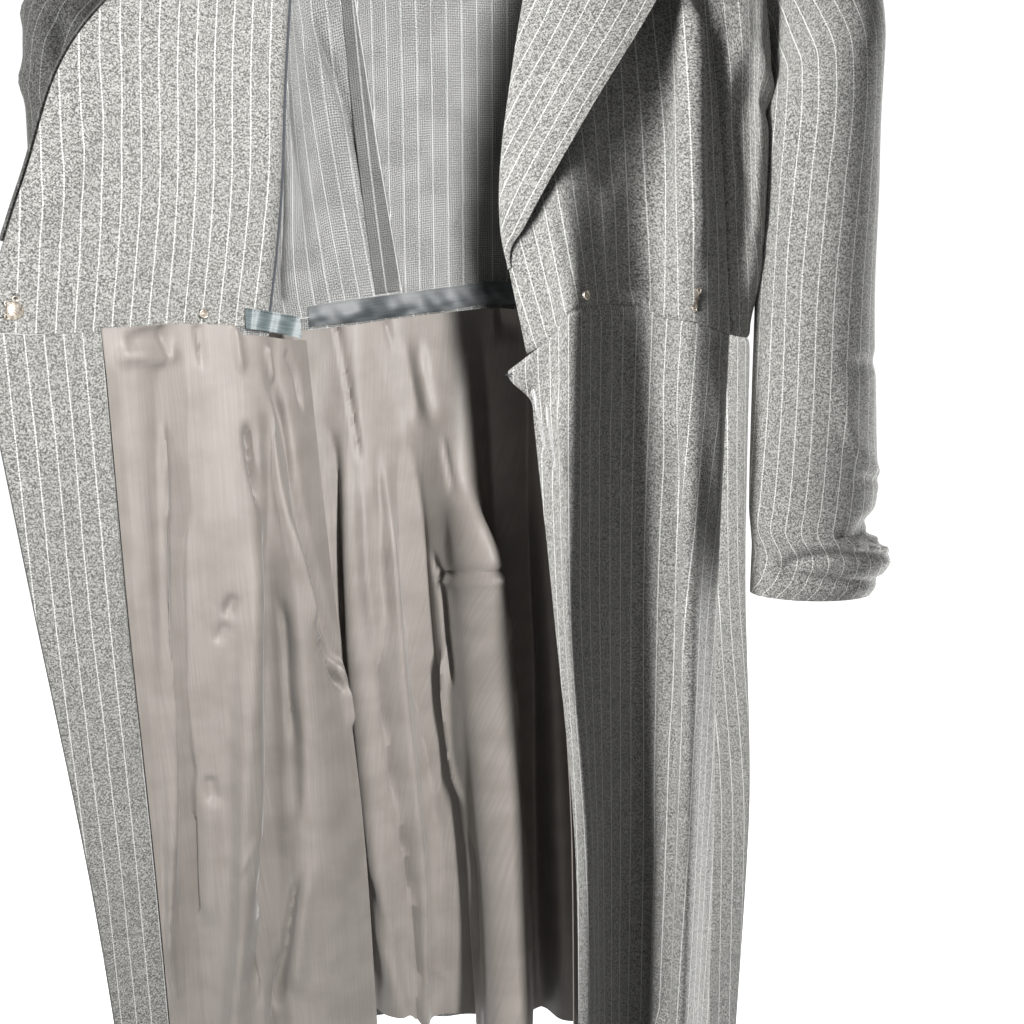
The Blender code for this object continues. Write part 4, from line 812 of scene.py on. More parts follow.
def linear(colour):
    """An sRGB hex colour as linear red, green, blue and alpha."""
    channels = [int(colour[i:i + 2], 16) / 255.0 for i in (0, 2, 4)]
    return tuple(c / 12.92 if c <= 0.04045 else ((c + 0.055) / 1.055) ** 2.4 for c in channels) + (1.0,)


def new_look(name, roughness, metallic=0.0, sheen=0.0):
    made = bpy.data.materials.new(name)
    made.use_nodes = True
    shader = made.node_tree.nodes["Principled BSDF"]
    shader.inputs["Roughness"].default_value = roughness
    shader.inputs["Metallic"].default_value = metallic
    shader.inputs["Sheen Weight"].default_value = sheen
    return made, made.node_tree, shader


def add(tree, kind, inputs, **settings):
    """Add one node with its settings and its inputs, each a value or another node's output."""
    made = tree.nodes.new(kind)
    for key, value in settings.items():
        setattr(made, key, value)
    for key, value in inputs.items():
        if isinstance(value, bpy.types.NodeSocket):
            tree.links.new(value, made.inputs[key])
        else:
            made.inputs[key].default_value = value
    return made


def calc(tree, operation, a, b=0.0):
    return add(tree, "ShaderNodeMath", {0: a, 1: b}, operation=operation).outputs[0]


def total(tree, *terms):
    """The sum of some values, each with its weight."""
    parts = [value if weight == 1.0 else calc(tree, "MULTIPLY", value, weight) for value, weight in terms]
    made = parts[0]
    for part in parts[1:]:
        made = calc(tree, "ADD", made, part)
    return made


def ranged(tree, value, low, high, to_low=0.0, to_high=1.0):
    """Turn a range of values into another one, smoothly and within its ends."""
    made = add(tree, "ShaderNodeMapRange", {"Value": value}, interpolation_type="SMOOTHSTEP")
    for key, number in (("From Min", low), ("From Max", high), ("To Min", to_low), ("To Max", to_high)):
        made.inputs[key].default_value = number
    return made.outputs["Result"]


def mixed(tree, share, a, b):
    """Blend two colours, each a hex code or another node's output."""
    a, b = [linear(colour) if isinstance(colour, str) else colour for colour in (a, b)]
    return add(tree, "ShaderNodeMix", {0: share, 6: a, 7: b}, data_type="RGBA").outputs[2]


def cloth_places(tree):
    """The cloth's own coordinates in mm: the vector, across and down."""
    place = add(tree, "ShaderNodeUVMap", {}, uv_map="cloth").outputs["UV"]
    in_mm = {0: place, 1: (1000.0, 1000.0, 1000.0)}
    size = add(tree, "ShaderNodeVectorMath", in_mm, operation="MULTIPLY").outputs[0]
    split = add(tree, "ShaderNodeSeparateXYZ", {0: size})
    return size, split.outputs[0], split.outputs[1]


def noise(tree, vector, scale, detail=2.0, stretch=(1.0, 1.0, 1.0)):
    if stretch != (1.0, 1.0, 1.0):
        vector = add(tree, "ShaderNodeVectorMath", {0: vector, 1: stretch}, operation="MULTIPLY").outputs[0]
    inputs = {"Vector": vector, "Scale": scale, "Detail": detail}
    return add(tree, "ShaderNodeTexNoise", inputs).outputs["Fac"]


def wave(tree, value, pitch):
    """A sine that repeats every pitch."""
    return calc(tree, "SINE", calc(tree, "MULTIPLY", value, 2 * math.pi / pitch))


def from_stripe(tree, across):
    """How far a place is from the nearest stripe, as a share of the stripes' pitch."""
    turns = calc(tree, "ADD", calc(tree, "DIVIDE", across, STRIPE), 0.5)
    return calc(tree, "ABSOLUTE", calc(tree, "SUBTRACT", calc(tree, "FRACT", turns), 0.5))


def finish_look(look, tree, shader, colour, height, distance, strength):
    """Join a material's colour and its bump to its shader."""
    tree.links.new(colour, shader.inputs["Base Color"])
    bump = add(tree, "ShaderNodeBump", {"Height": height, "Distance": distance, "Strength": strength})
    tree.links.new(bump.outputs["Normal"], shader.inputs["Normal"])
    return look


def pinstripe_wool():
    """Sharkskin-like grey worsted: dark and light fibres a millimetre apart, and thin dotted stripes."""
    look, tree, shader = new_look("grey pinstripe wool", 0.88, sheen=0.12)
    place, across, down = cloth_places(tree)
    fibres = noise(tree, place, 0.95, 4.0, (1.0, 0.72, 1.0))
    fine = noise(tree, place, 2.2, 1.0)
    twill = wave(tree, calc(tree, "ADD", across, down), 1.7)
    cells = add(tree, "ShaderNodeTexVoronoi", {"Vector": place, "Scale": 1.15}).outputs["Color"]
    specks = add(tree, "ShaderNodeSeparateXYZ", {0: cells}).outputs[0]
    grain = total(tree, (fibres, 0.5), (fine, 0.3), (specks, 0.2), (twill, 0.022))
    body = mixed(tree, ranged(tree, grain, 0.39, 0.63), "43423F", "ADACA8")
    cloudy = ranged(tree, noise(tree, place, 0.02, 2.0), 0.3, 0.7, 0.0, 0.16)
    body = mixed(tree, cloudy, body, "6E706C")
    wobble = calc(tree, "SUBTRACT", noise(tree, place, 0.12, 1.0), 0.5)
    gap = from_stripe(tree, total(tree, (across, 1.0), (wobble, 0.5)))
    line = ranged(tree, gap, 0.008, 0.045, 1.0, 0.0)
    dots = total(tree, (wave(tree, down, 2.1), 0.25), (fibres, 1.0))
    stripe = calc(tree, "MULTIPLY", line, ranged(tree, dots, 0.25, 0.75, 0.28, 0.95))
    colour = mixed(tree, stripe, body, "EAEAE6")
    return finish_look(look, tree, shader, colour, total(tree, (grain, 1.0), (line, 0.25)), 0.0003, 0.3)


def wool_wrong_side(name="grey wool wrong side", dark="343433", light="A2A2A0"):
    """The cloth's back, where both sets of threads make a tiny check and the stripes come through softly."""
    look, tree, shader = new_look(name, 0.92, sheen=0.12)
    place, across, down = cloth_places(tree)
    fibres = noise(tree, place, 1.1, 3.0)
    check = calc(tree, "MAXIMUM", wave(tree, across, 1.9), wave(tree, down, 1.9))
    patchy = ranged(tree, noise(tree, place, 0.03, 2.0), 0.35, 0.65, 0.06, 0.16)
    grain = calc(tree, "ADD", fibres, calc(tree, "MULTIPLY", check, patchy))
    body = mixed(tree, ranged(tree, grain, 0.36, 0.72), dark, light)
    line = ranged(tree, from_stripe(tree, across), 0.015, 0.07, 0.5, 0.0)
    stripe = calc(tree, "MULTIPLY", line, ranged(tree, fibres, 0.35, 0.65, 0.2, 1.0))
    return finish_look(look, tree, shader, mixed(tree, stripe, body, "E8EAE6"), grain, 0.0004, 0.5)


def lining_satin():
    """Taupe acetate satin: a smooth soft gloss, faint warp streaks and a slightly mottled tone."""
    look, tree, shader = new_look("taupe lining satin", 0.48, sheen=0.2)
    shader.inputs["Specular IOR Level"].default_value = 0.3
    place = cloth_places(tree)[0]
    streaks = noise(tree, place, 1.0, 2.0, (0.9, 0.012, 1.0))
    body = mixed(tree, ranged(tree, streaks, 0.35, 0.65), "7C7671", "837D77")
    body = mixed(tree, ranged(tree, noise(tree, place, 0.03, 3.0), 0.35, 0.7, 0.0, 0.5), body, "6D6761")
    ripple = noise(tree, place, 0.09, 3.0, (1.0, 0.35, 1.0))
    weave = noise(tree, place, 1.8, 1.0, (1.0, 0.4, 1.0))
    return finish_look(look, tree, shader, body, total(tree, (ripple, 1.0), (weave, 0.03)), 0.0014, 0.25)


def ribbon_satin(name, dark, light):
    """Slate blue satin ribbon: glossy, with thin lengthways streaks and small stitches near its top."""
    look, tree, shader = new_look(name, 0.42, sheen=0.1)
    shader.inputs["Specular IOR Level"].default_value = 0.5
    place, across, down = cloth_places(tree)
    streaks = noise(tree, place, 1.0, 2.0, (0.05, 0.9, 1.0))
    body = mixed(tree, ranged(tree, streaks, 0.3, 0.7), dark, light)
    near = ranged(tree, calc(tree, "ABSOLUTE", calc(tree, "SUBTRACT", down, 1.3)), 0.35, 0.6, 1.0, 0.0)
    stitch = calc(tree, "MULTIPLY", near, ranged(tree, wave(tree, across, 2.6), 0.0, 0.3))
    ripple = noise(tree, place, 0.11, 2.0, (1.0, 0.6, 1.0))
    height = calc(tree, "SUBTRACT", ripple, calc(tree, "MULTIPLY", stitch, 0.3))
    return finish_look(look, tree, shader, mixed(tree, stitch, body, "15181A"), height, 0.0004, 0.3)


def nickel():
    """Worn nickelled steel: warm silver, finely scratched, duller in patches."""
    look, tree, shader = new_look("worn nickelled steel", 0.35, metallic=1.0)
    place = add(tree, "ShaderNodeTexCoord", {}).outputs["Object"]
    scratch = noise(tree, place, 1.0, 3.0, (900.0, 5200.0, 900.0))
    body = mixed(tree, ranged(tree, noise(tree, place, 420.0, 2.0), 0.35, 0.65), "C9C1B6", "948A7E")
    tree.links.new(ranged(tree, scratch, 0.3, 0.7, 0.26, 0.46), shader.inputs["Roughness"])
    return finish_look(look, tree, shader, body, scratch, 0.0001, 0.25)


def sewing_thread():
    """Dark grey sewing thread, dull, with its twist as fine ridges."""
    look, tree, shader = new_look("dark sewing thread", 0.8, sheen=0.2)
    place = add(tree, "ShaderNodeTexCoord", {}).outputs["Object"]
    twist = noise(tree, place, 3200.0, 1.0)
    body = mixed(tree, ranged(tree, twist, 0.35, 0.65), "23262A", "4A4E54")
    return finish_look(look, tree, shader, body, twist, 0.0001, 0.4)


def pale_floor():
    """A matt off-white studio floor with a barely mottled tone, bright enough to look white to the camera."""
    look, tree, shader = new_look("pale studio floor", 0.9)
    place = add(tree, "ShaderNodeTexCoord", {}).outputs["Object"]
    body = mixed(tree, ranged(tree, noise(tree, place, 0.6, 2.0), 0.3, 0.7), "F7F7F6", "FCFCFB")
    tree.links.new(body, shader.inputs["Base Color"])
    tree.links.new(body, shader.inputs["Emission Color"])
    shader.inputs["Emission Strength"].default_value = 1.15
    return look


WOOL_LOOK = pinstripe_wool()
WRONG_SIDE = wool_wrong_side()
# A darker copy of the wrong side: painted shade on the seam allowance.
SHADED_ALLOWANCE_LOOK = wool_wrong_side("grey wool seam allowance", "262626", "787876")
SATIN_LOOK = lining_satin()
METAL = nickel()
THREAD = sewing_thread()
OUTSIDE = (WOOL_LOOK, WRONG_SIDE)
INSIDE = (WRONG_SIDE, WOOL_LOOK)


SHORT_PANEL, LONG_PANEL = 380.0, 400.0     # lengths that set the bodice panels' rows
SKIRT_LENGTH, LINING_LENGTH = 700.0, 670.0
FACING_SCALE = 0.93        # the right facings' stripes lie further apart, by one over this
LAPEL_SCALE = 0.9          # and the lapels'
ROWS_OF_SKIRT = 1.3        # the skirt's rows are this much further apart than its columns
ROWS_OF_LINING = 1.35      # and the lining's


def bodice():
    pieces = (
        # name, from place, to place, spacing, length, stripe start, lean, stripe line, toward, sewn edges
        ("bodice_front_R", RIGHT_EDGE, RIGHT_SEAM, 4.2, SHORT_PANEL, 0.0, 0.0, 1.0, 1.0, "rtb"),
        ("bodice_side_R", RIGHT_SEAM, RIGHT_PRINCESS, 3.6, SHORT_PANEL, 0.0, 0.0, 1.0, -1.0, "lrtb"),
        ("bodice_back", RIGHT_PRINCESS, LEFT_PRINCESS, 3.2, LONG_PANEL, 4.0, 0.0, 0.5, -1.0, "lrtb"),
        ("bodice_side_L", LEFT_PRINCESS, LEFT_SEAM, 4.0, SHORT_PANEL, 0.0, 0.0, 1.0, 1.0, "lrtb"),
        ("bodice_front_L", LEFT_SEAM, LEFT_EDGE, 3.0, LONG_PANEL, 5.0, -0.05, 0.0, 1.0, "ltb"),
    )
    for name, low, high, spacing, length, start, lean, line, toward, sewn in pieces:
        lay_cloth(name, bodice_at, low, high, spacing, length, OUTSIDE, start=start, lean=lean, line=line,
                  toward=toward, sewn=sewn, rows=spacing)
    lay_cloth("facing_bodice_R", bodice_at, RIGHT_EDGE, RIGHT_SEAM, 3.0, LONG_PANEL, INSIDE, FACING_DEPTH,
              scale=FACING_SCALE, line=1.0, toward=-1.0, top=0.03, rows=3.0)


def skirt():
    pieces = (
        # name, from place, to place, spacing, stripe start, stripe line, sewn edges
        ("skirt_front_R", RIGHT_EDGE, RIGHT_SEAM, 5.0, 0.0, 0.5, "rt"),
        ("skirt_back", RIGHT_SEAM, LEFT_SEAM, 5.0, 4.0, 0.5, "lrt"),
        ("skirt_front_L", LEFT_SEAM, LEFT_EDGE, 3.2, 3.0, 0.6, "lt"),
    )
    for name, low, high, spacing, start, line, sewn in pieces:
        lay_cloth(name, skirt_at, low, high, spacing, SKIRT_LENGTH, OUTSIDE, start=start, line=line,
                  sewn=sewn, rows=spacing * ROWS_OF_SKIRT)
    lay_cloth("skirt_facing_R", skirt_at, RIGHT_EDGE, RIGHT_FACING, 3.0, SKIRT_LENGTH, INSIDE, FACING_DEPTH,
              start=-11.8, scale=FACING_SCALE, line=1.0, toward=-1.0, rows=3.6)
    lay_cloth("skirt_facing_L", skirt_at, LEFT_FACING + 0.5, LEFT_EDGE, 4.0, SKIRT_LENGTH, INSIDE,
              FACING_DEPTH, start=3.0, line=0.0, toward=-1.0, rows=5.0)


LINING_ROOM = 5.5          # the lining starts at least this far inside the skirt
TUCK_RISE = 7.0            # the right lining's top edge goes this far up under the facing
TUCK_DEPTH = 26.0          # from this far down
TUCK_END = 243.0           # as far as this pixel column
DROP = 18.0                # the back lining's hem hangs this much lower on the left
DROP_START = 406.0         # from this pixel column
DROP_FROM = 0.75           # and from this share of its length
CLEAR_BY = 30.0            # the lining is clear of the skirt this far below its top edge


def linings():
    pieces = (
        # name, table, skirt node and its places behind it, spacing, the folds' strength, room kept after them
        ("lining_front_R", LINING_RIGHT, "skirt_front_R", RIGHT_EDGE, RIGHT_SEAM, 2.4, 2.0, 8.0),
        ("lining_back", LINING_BACK, "skirt_back", RIGHT_SEAM, LEFT_SEAM, 3.2, 1.5, 8.0),
        ("lining_front_L", LINING_LEFT, "skirt_front_L", LEFT_SEAM, LEFT_EDGE, 5.0, 1.5, 19.0),
    )
    for name, table, behind, low, high, spacing, deepen, room in pieces:
        def cloth(us, vs, table=table):
            return lining_at(table, us, vs)
        us = spread(cloth, 0.0, len(table) - 1.0, spacing)
        vs = rows_down(LINING_LENGTH, spacing * ROWS_OF_LINING)
        points = kept_off(cloth(us, vs), skirt_at, low, high, -FAR, -LINING_ROOM)
        out = grid_normals(points, normals_of(skirt_at, [(low + high) / 2], [0.5])[0, 0])
        chart = chart_of(points, 0.0)
        points = creased(points, out, chart, [(deepen * fold[0],) + fold[1:] for fold in FOLDS[name]], -1.0)
        clear = kept_off(points, skirt_at, low, high, -FAR, -room)
        points = lerp(points, clear, smooth(chart[..., 1:] / CLEAR_BY))
        column = in_frame(points)[..., 0]
        tuck = smooth(1.0 - chart[..., 1] / TUCK_DEPTH) * smooth((TUCK_END - column) / 8.0)
        points[..., 2] += TUCK_RISE * tuck
        if name == "lining_back":
            low_part = smooth((vs[:, None] - DROP_FROM) / (1.0 - DROP_FROM))
            points[..., 2] -= DROP * smooth((in_frame(points)[..., 0] - DROP_START) / 18.0) * low_part
        clothe(name, points, out, chart, (SATIN_LOOK,), SATIN)


def across_columns(columns, spacing):
    """A fine smooth surface through a few columns of points, each with the same rows."""
    gaps = [np.linalg.norm(b - a, axis=1).mean() for a, b in zip(columns[:-1], columns[1:])]
    knots = np.append(0.0, np.cumsum(gaps))
    places = np.linspace(0.0, knots[-1], int(knots[-1] / spacing) + 2)
    fine = curve_at(knots, np.array(columns).reshape(len(columns), -1), places)
    return fine.reshape(len(places), -1, 3).transpose(1, 0, 2)


def roll_frame(fractions, edge, beside):
    """The front edge, the direction off it and the direction out of the coat."""
    ends = bodice_at([edge], fractions)[:, 0]
    off = unit(ends - bodice_at([beside], fractions)[:, 0])
    out = normals_of(bodice_at, [edge], fractions)[:, 0]
    out = unit(out - off * np.sum(out * off, axis=1, keepdims=True))
    return ends, off, out


ROLL_LEFT = ((1.6, -0.7), (1.3, 2.4), (-1.6, 3.6))     # the left roll's turn: off the edge, out of the coat
ROLL_RIGHT = ((1.6, -2.5), (2.9, 0.6), (1.4, 3.4))     # the right roll's turn, the same way
LAPEL_CLEAR = 3.8          # the left lapel's least distance from its front
LAPEL_CLEAR_R = 4.4        # the right lapel's
TIP_TAPER = 0.05           # share of the edge over which the lapel's end draws in to it
TIP_PLACE = (-9.0, 4.6)    # where it ends: off the edge, out of the coat
NARROW_FROM = 0.79         # the left lapel narrows from here
NARROW_OVER = 0.06         # over this share of the edge
NARROW_TO = 0.3            # to this share of its width
FLAP_BOW = 0.05            # the left flap bows out by this share of its width
ROLL_WIDE = 2.2            # the right roll is this much wider at its top
ROLL_EVEN = 0.28           # and even from here down
MOST_OF_FRONT = 0.94       # the right lapel covers no more of its front than this
COLLAR_STAND = 17.0        # the collar rises this much before it turns down
COLLAR_LIFT = 0.5          # gap between the collar and the neck edge


def left_lapel():
    fractions = np.linspace(0.005, LAPEL_END, 130)
    left = np.array(LAPEL_LEFT, float)
    free = curve_at(left[:, 0], left[:, 1:], fractions)
    ends, off, out = roll_frame(fractions, LEFT_EDGE, 25.0)
    columns = [ends + off * a + out * b for a, b in ROLL_LEFT]
    tip = smooth((fractions - (LAPEL_END - TIP_TAPER)) / TIP_TAPER)[:, None]
    free = lerp(free, ends + off * TIP_PLACE[0] + out * TIP_PLACE[1], tip)
    width = np.linalg.norm(free - ends, axis=1, keepdims=True)
    for s in (0.25, 0.5, 0.75, 1.0):
        flap = lerp(columns[2], free, s) + out * width * FLAP_BOW * math.sin(math.pi * s)
        columns.append(kept_off(flap, bodice_at, LEFT_SEAM, LEFT_EDGE, LAPEL_CLEAR, FAR))
    closing = smooth((fractions - NARROW_FROM) / NARROW_OVER)[:, None]
    columns = [lerp(column, ends + (column - ends) * NARROW_TO, closing) for column in columns]
    lay_lapel("lapel_L", across_columns(columns[::-1], 2.6), 0.0)


def right_lapel():
    fractions = np.linspace(0.045, LAPEL_END, 110)
    right = np.array(LAPEL_RIGHT, float)
    sizes = curve_at(right[:, 0], right[:, 1:], fractions)
    ends, off, out = roll_frame(fractions, RIGHT_EDGE, 1.0)
    wide = lerp(ROLL_WIDE, 1.0, smooth(fractions / ROLL_EVEN))[:, None]
    columns = [ends + off * a * wide + out * b for a, b in ROLL_RIGHT]
    rest = []
    across = np.linspace(0.0, RIGHT_SEAM, 60)
    s = np.array((0.06, 0.25, 0.5, 0.75, 1.0))
    for v, (width, room) in zip(fractions, sizes):
        line = bodice_at(across, [v])[0]
        run = np.append(0.0, np.cumsum(np.linalg.norm(np.diff(line, axis=0), axis=1)))
        places = np.interp(s * min(width, MOST_OF_FRONT * run[-1]), run, across)
        above = normals_of(bodice_at, places, [v])[0]
        rest.append(bodice_at(places, [v])[0] + above * lerp(LAPEL_CLEAR_R, room, s)[:, None])
    rest = kept_off(np.array(rest), bodice_at, RIGHT_EDGE, RIGHT_SEAM, LAPEL_CLEAR_R, FAR)
    lay_lapel("lapel_R", across_columns(columns + list(rest.transpose(1, 0, 2)), 3.6), 1.0)


def lay_lapel(name, points, line):
    chart = chart_of(points, line, 6.0, 0.0, LAPEL_SCALE)
    points = creased(points, grid_normals(points), chart, FOLDS.get(name, ()), 1.0)
    clothe(name, points, grid_normals(points), chart, (WOOL_LOOK,))


def collar():
    across = np.linspace(0.0, 1.0, 110)
    neck = bodice_at(lerp(10.9, 13.1, across), [0.0])[0]
    free = curve_at(np.linspace(0.0, 1.0, len(COLLAR_EDGE)), COLLAR_EDGE, across)
    rows = []
    for s in np.linspace(0.0, 1.0, 30):
        stand = COLLAR_STAND * math.sin(math.pi * s ** 0.55)
        rows.append(lerp(neck, free, s) + np.array((0.0, 0.0, stand + COLLAR_LIFT)))
    points = trimmed(np.array(rows), "lr")
    points[:, (0, -1), 1] += 0.9
    clothe("collar", points, grid_normals(points), chart_of(points, 0.5, 6.0), (WOOL_LOOK,))


ARMHOLE = ("tip_front", "armhole_front", "underarm", "armhole_low", "armhole_back", "tip_back")
ARMHOLE_COUNTS = (1, 4, 2, 3, 2)                       # steps between these lines
ARMHOLE_PARTS = (3, 1, 1, 1, 1, 1, 1, 1, 1, 1, 2, 2)   # parts of each step
HEAD_RINGS = 4             # rings between the armhole and the bicep
TUCKED_IN = 5.0            # the sleeve starts this far inside the body's edge
SLEEVE_ROUND = 330.0       # about the length of cloth round a sleeve


def armhole_places(side):
    """Places round an armhole: tip, front, underarm, low back, back, tip."""
    place_of = {row[0]: row[1] for row in BODICE}
    knots = [place_of[side + name] for name in ARMHOLE]
    spans = zip(knots[:-1], knots[1:], ARMHOLE_COUNTS)
    return np.concatenate([np.linspace(a, b, n + 1)[:-1] for a, b, n in spans] + [knots[-1:]])


def head_rings(loop, side, first, round_a, round_b):
    """Rings that turn from the armhole, over the sleeve head, to the first row of the sleeve's table."""
    under = loop[len(loop) // 2]
    height = loop[0][2] - under[2]
    bicep = abs(first[3] - first[2])
    rings = []
    for k in range(HEAD_RINGS + 1):
        s = k / (HEAD_RINGS + 1)
        turn = math.radians(90.0 * s)
        width = lerp(height, bicep, 1.0 - (1.0 - s) ** 1.4)
        blend = float(smooth(s))
        a = lerp((loop[:, 2] - under[2]) / height, round_a, blend)
        y = lerp(loop[:, 1], first[4] + round_b * first[5], blend)
        lean = (loop[:, 0] - under[0]) * side * (1.0 - blend)
        base_x = lerp(under[0] + side * 1.5, first[2], min(2.2 * s, 1.0))
        base_z = lerp(under[2], first[1], s ** 1.5)
        x = base_x + side * (math.sin(turn) * width * a + math.cos(turn) * lean)
        z = base_z + math.cos(turn) * width * a - math.sin(turn) * lean
        rings.append(np.column_stack((x, y, z)))
    return rings


def round_normals(points):
    """Outward directions of a tube whose first and last columns meet."""
    padded = np.concatenate((points[:, -3:-1], points, points[:, 1:3]), axis=1)
    out = grid_normals(padded)[:, 2:-2]
    return out * np.sign(np.sum(out * (points - points.mean(axis=1, keepdims=True))))


def sleeve(name, side, places, table, spacing):
    """A tube from the armhole over the sleeve head and down to the turned cuff."""
    corners = bodice_at(places, [0.0])[0]
    loop = []
    for a, b, parts in zip(corners[:-1], corners[1:], ARMHOLE_PARTS):
        loop += [lerp(a, b, k / parts) for k in range(parts)]
    loop = np.array(loop)
    turns = np.arange(len(loop)) / len(loop)
    round_a = (1.0 + np.cos(2 * math.pi * turns)) / 2
    round_b = -np.sin(2 * math.pi * turns)
    rings = head_rings(loop, side, table[0], round_a, round_b)
    for _, z, inner_x, outer_x, mid_y, half_depth in table:
        x = lerp(inner_x, outer_x, round_a)
        rings.append(np.column_stack((x, mid_y + round_b * half_depth, np.full(len(turns), float(z)))))
    rings = np.array(rings)
    rings[0][:, 0] -= side * TUCKED_IN
    run = np.append(0.0, np.cumsum(np.linalg.norm(np.diff(rings, axis=0), axis=2).mean(axis=1)))
    down = with_edges(np.linspace(0.0, run[-1], int(run[-1] / spacing)))
    rings = curve_at(run, rings.reshape(len(rings), -1), down).reshape(len(down), -1, 3)
    rings = np.roll(rings, -(len(loop) // 2), axis=1)
    wrapped = np.concatenate((rings[:, -3:], rings, rings[:, :4]), axis=1)
    knots = np.arange(-3.0, len(loop) + 4.0)
    around = np.linspace(0.0, float(len(loop)), int(SLEEVE_ROUND / spacing))
    stack = wrapped.transpose(1, 0, 2).reshape(len(knots), -1)
    points = curve_at(knots, stack, around).reshape(len(around), len(down), 3).transpose(1, 0, 2)
    chart = chart_of(points, 0.5, 2.0)
    points = creased(points, round_normals(points), chart, FOLDS[name], 1.0)
    points[:, -1] = points[:, 0]
    clothe(name, points, round_normals(points), chart, OUTSIDE)


def sleeves():
    sleeve("sleeve_L", 1.0, armhole_places("left_"), SLEEVE_LEFT, 3.2)
    sleeve("sleeve_R", -1.0, armhole_places("right_"), SLEEVE_RIGHT, 4.4)


RIBBON = (
    # x, y, top z, bottom z
    (-196, -97.6, -389, -405),
    (-184, -88.8, -391, -407),
    (-172, -80.0, -394, -410),
    (-158, -70.0, -397, -414),
)
TAPE_FROM, TAPE_TO = 8.05, 16.5     # the tape's ends along the waist seam
TAPE_TOP = 0.972                    # its top edge on the bodice
TAPE_BOTTOM = 0.0105                # and its bottom edge on the skirt
TAPE_DEPTH = 2.6                    # how far it lies inside the cloth


def waist_tape():
    us = np.linspace(TAPE_FROM, TAPE_TO, 200)
    rows = []
    for share in np.linspace(0.0, 1.0, 9):
        v = lerp(TAPE_TOP, 1.0, min(share * 2.0, 1.0)) if share <= 0.5 else TAPE_BOTTOM * (share * 2.0 - 1.0)
        cloth = bodice_at if share <= 0.5 else skirt_at
        ripple = 0.35 * np.sin(us * 7.0 + 3.0 * share) + 0.15 * np.sin(us * 17.0 - 5.0 * share)
        depth = TAPE_DEPTH + ripple * math.sin(math.pi * share)
        rows.append(cloth(us, [v])[0] - normals_of(cloth, us, [v])[0] * depth[:, None])
    points = np.array(rows)
    # The tape and the ribbon end are one ribbon; the tape's much darker colour is painted shade.
    look = ribbon_satin("slate satin waist tape", "1A2022", "2C3437")
    out = grid_normals(points, (0.0, 1.0, 0.0))
    chart = chart_of(points, 0.0)
    clothe("waist_tape", points, out, chart, (look,), TAPE)


def ribbon_end():
    across = np.linspace(0.0, 3.0, 50)
    x, y, top, bottom = curve_at(np.arange(4.0), np.array(RIBBON, float), across).T
    rows = []
    for part in np.linspace(0.0, 1.0, 12):
        ripple = 1.1 * np.sin(across * 5.2 + 1.5 * part) * smooth(across / 0.5)
        rows.append(np.column_stack((x - 0.5 * ripple, y + ripple, lerp(top, bottom, part))))
    points = np.array(rows)
    # Lighter than the same ribbon on the waist tape, whose darker colour is painted shade.
    look = ribbon_satin("slate satin ribbon end", "4C5557", "6B7577")
    clothe("ribbon_end", points, grid_normals(points), chart_of(points, 0.0), (look,),
           TAPE)


def seat(u, v, depth):
    """A frame lying on the bodice: x along the waist, y up, z off the cloth."""
    point = bodice_at([u], [v])[0, 0]
    out = normals_of(bodice_at, [u], [v])[0, 0]
    off = -out if depth > 0.0 else out
    along = unit(bodice_at([u + 0.05], [v])[0, 0] - bodice_at([u - 0.05], [v])[0, 0])
    up = np.cross(out, along)
    up = up if up[2] > 0.0 else -up
    point = (point + off * abs(depth)) * MM
    return Matrix([[along[k], up[k], off[k], point[k]] for k in range(3)] + [[0.0, 0.0, 0.0, 1.0]])


def keep_piece(name, place, look, angle=35.0):
    """Settle the piece just made: its place in its mesh, its look and its body."""
    piece = bpy.context.object
    piece.name = name
    bpy.ops.object.transform_apply(location=True, rotation=True, scale=True)
    piece.data.transform(place)
    piece.data.materials.append(look)
    bpy.ops.object.shade_smooth_by_angle(angle=math.radians(angle))
    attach(piece, "root")
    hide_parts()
    return piece


def in_metres(*sizes):
    return [size * MM for size in sizes]


def ring(name, place, x, y, z, major, minor):
    """A wire eye, lying flat on the cloth."""
    bpy.ops.mesh.primitive_torus_add(major_segments=28, minor_segments=10, major_radius=major * MM,
                                     minor_radius=minor * MM, location=in_metres(x, y, z))
    return keep_piece(name, place, METAL, 60.0)


def knob(name, place, x, y, z, radius, height):
    """A round plate or stud: a cylinder with rounded edges."""
    bpy.ops.mesh.primitive_cylinder_add(vertices=28, radius=radius * MM, depth=height * MM,
                                        location=in_metres(x, y, z))
    bpy.ops.object.mode_set(mode="EDIT")
    bpy.ops.mesh.select_all(action="SELECT")
    bpy.ops.mesh.bevel(offset=min(radius, height) * 0.3 * MM, segments=3)
    bpy.ops.object.mode_set(mode="OBJECT")
    return keep_piece(name, place, METAL)


def threads(name, place, strands, radius=0.22):
    """Sewing thread along short lines of points in mm, as thin round cords."""
    line = bpy.data.curves.new(name, "CURVE")
    line.dimensions = "3D"
    line.bevel_depth = radius * MM
    line.bevel_resolution = 2
    for strand in strands:
        run = line.splines.new("NURBS")
        run.points.add(len(strand) - 1)
        for spot, point in zip(run.points, strand):
            spot.co = in_metres(*point) + [1.0]
        run.use_endpoint_u = True
        run.order_u = 3
        run.resolution_u = 4
    cord = bpy.data.objects.new(name, line)
    bpy.context.scene.collection.objects.link(cord)
    bpy.ops.object.select_all(action="DESELECT")
    bpy.context.view_layer.objects.active = cord
    cord.select_set(True)
    bpy.ops.object.convert(target="MESH")
    return keep_piece(name, place, THREAD, 80.0)


SEWN_ON = 0.3              # gap under a fitting
ON_FACING = FACING_DEPTH + WOOL + SEWN_ON     # depth of what is sewn on the right front's facing
ON_FRONT = -0.4            # depth of what is sewn on the left front's outside


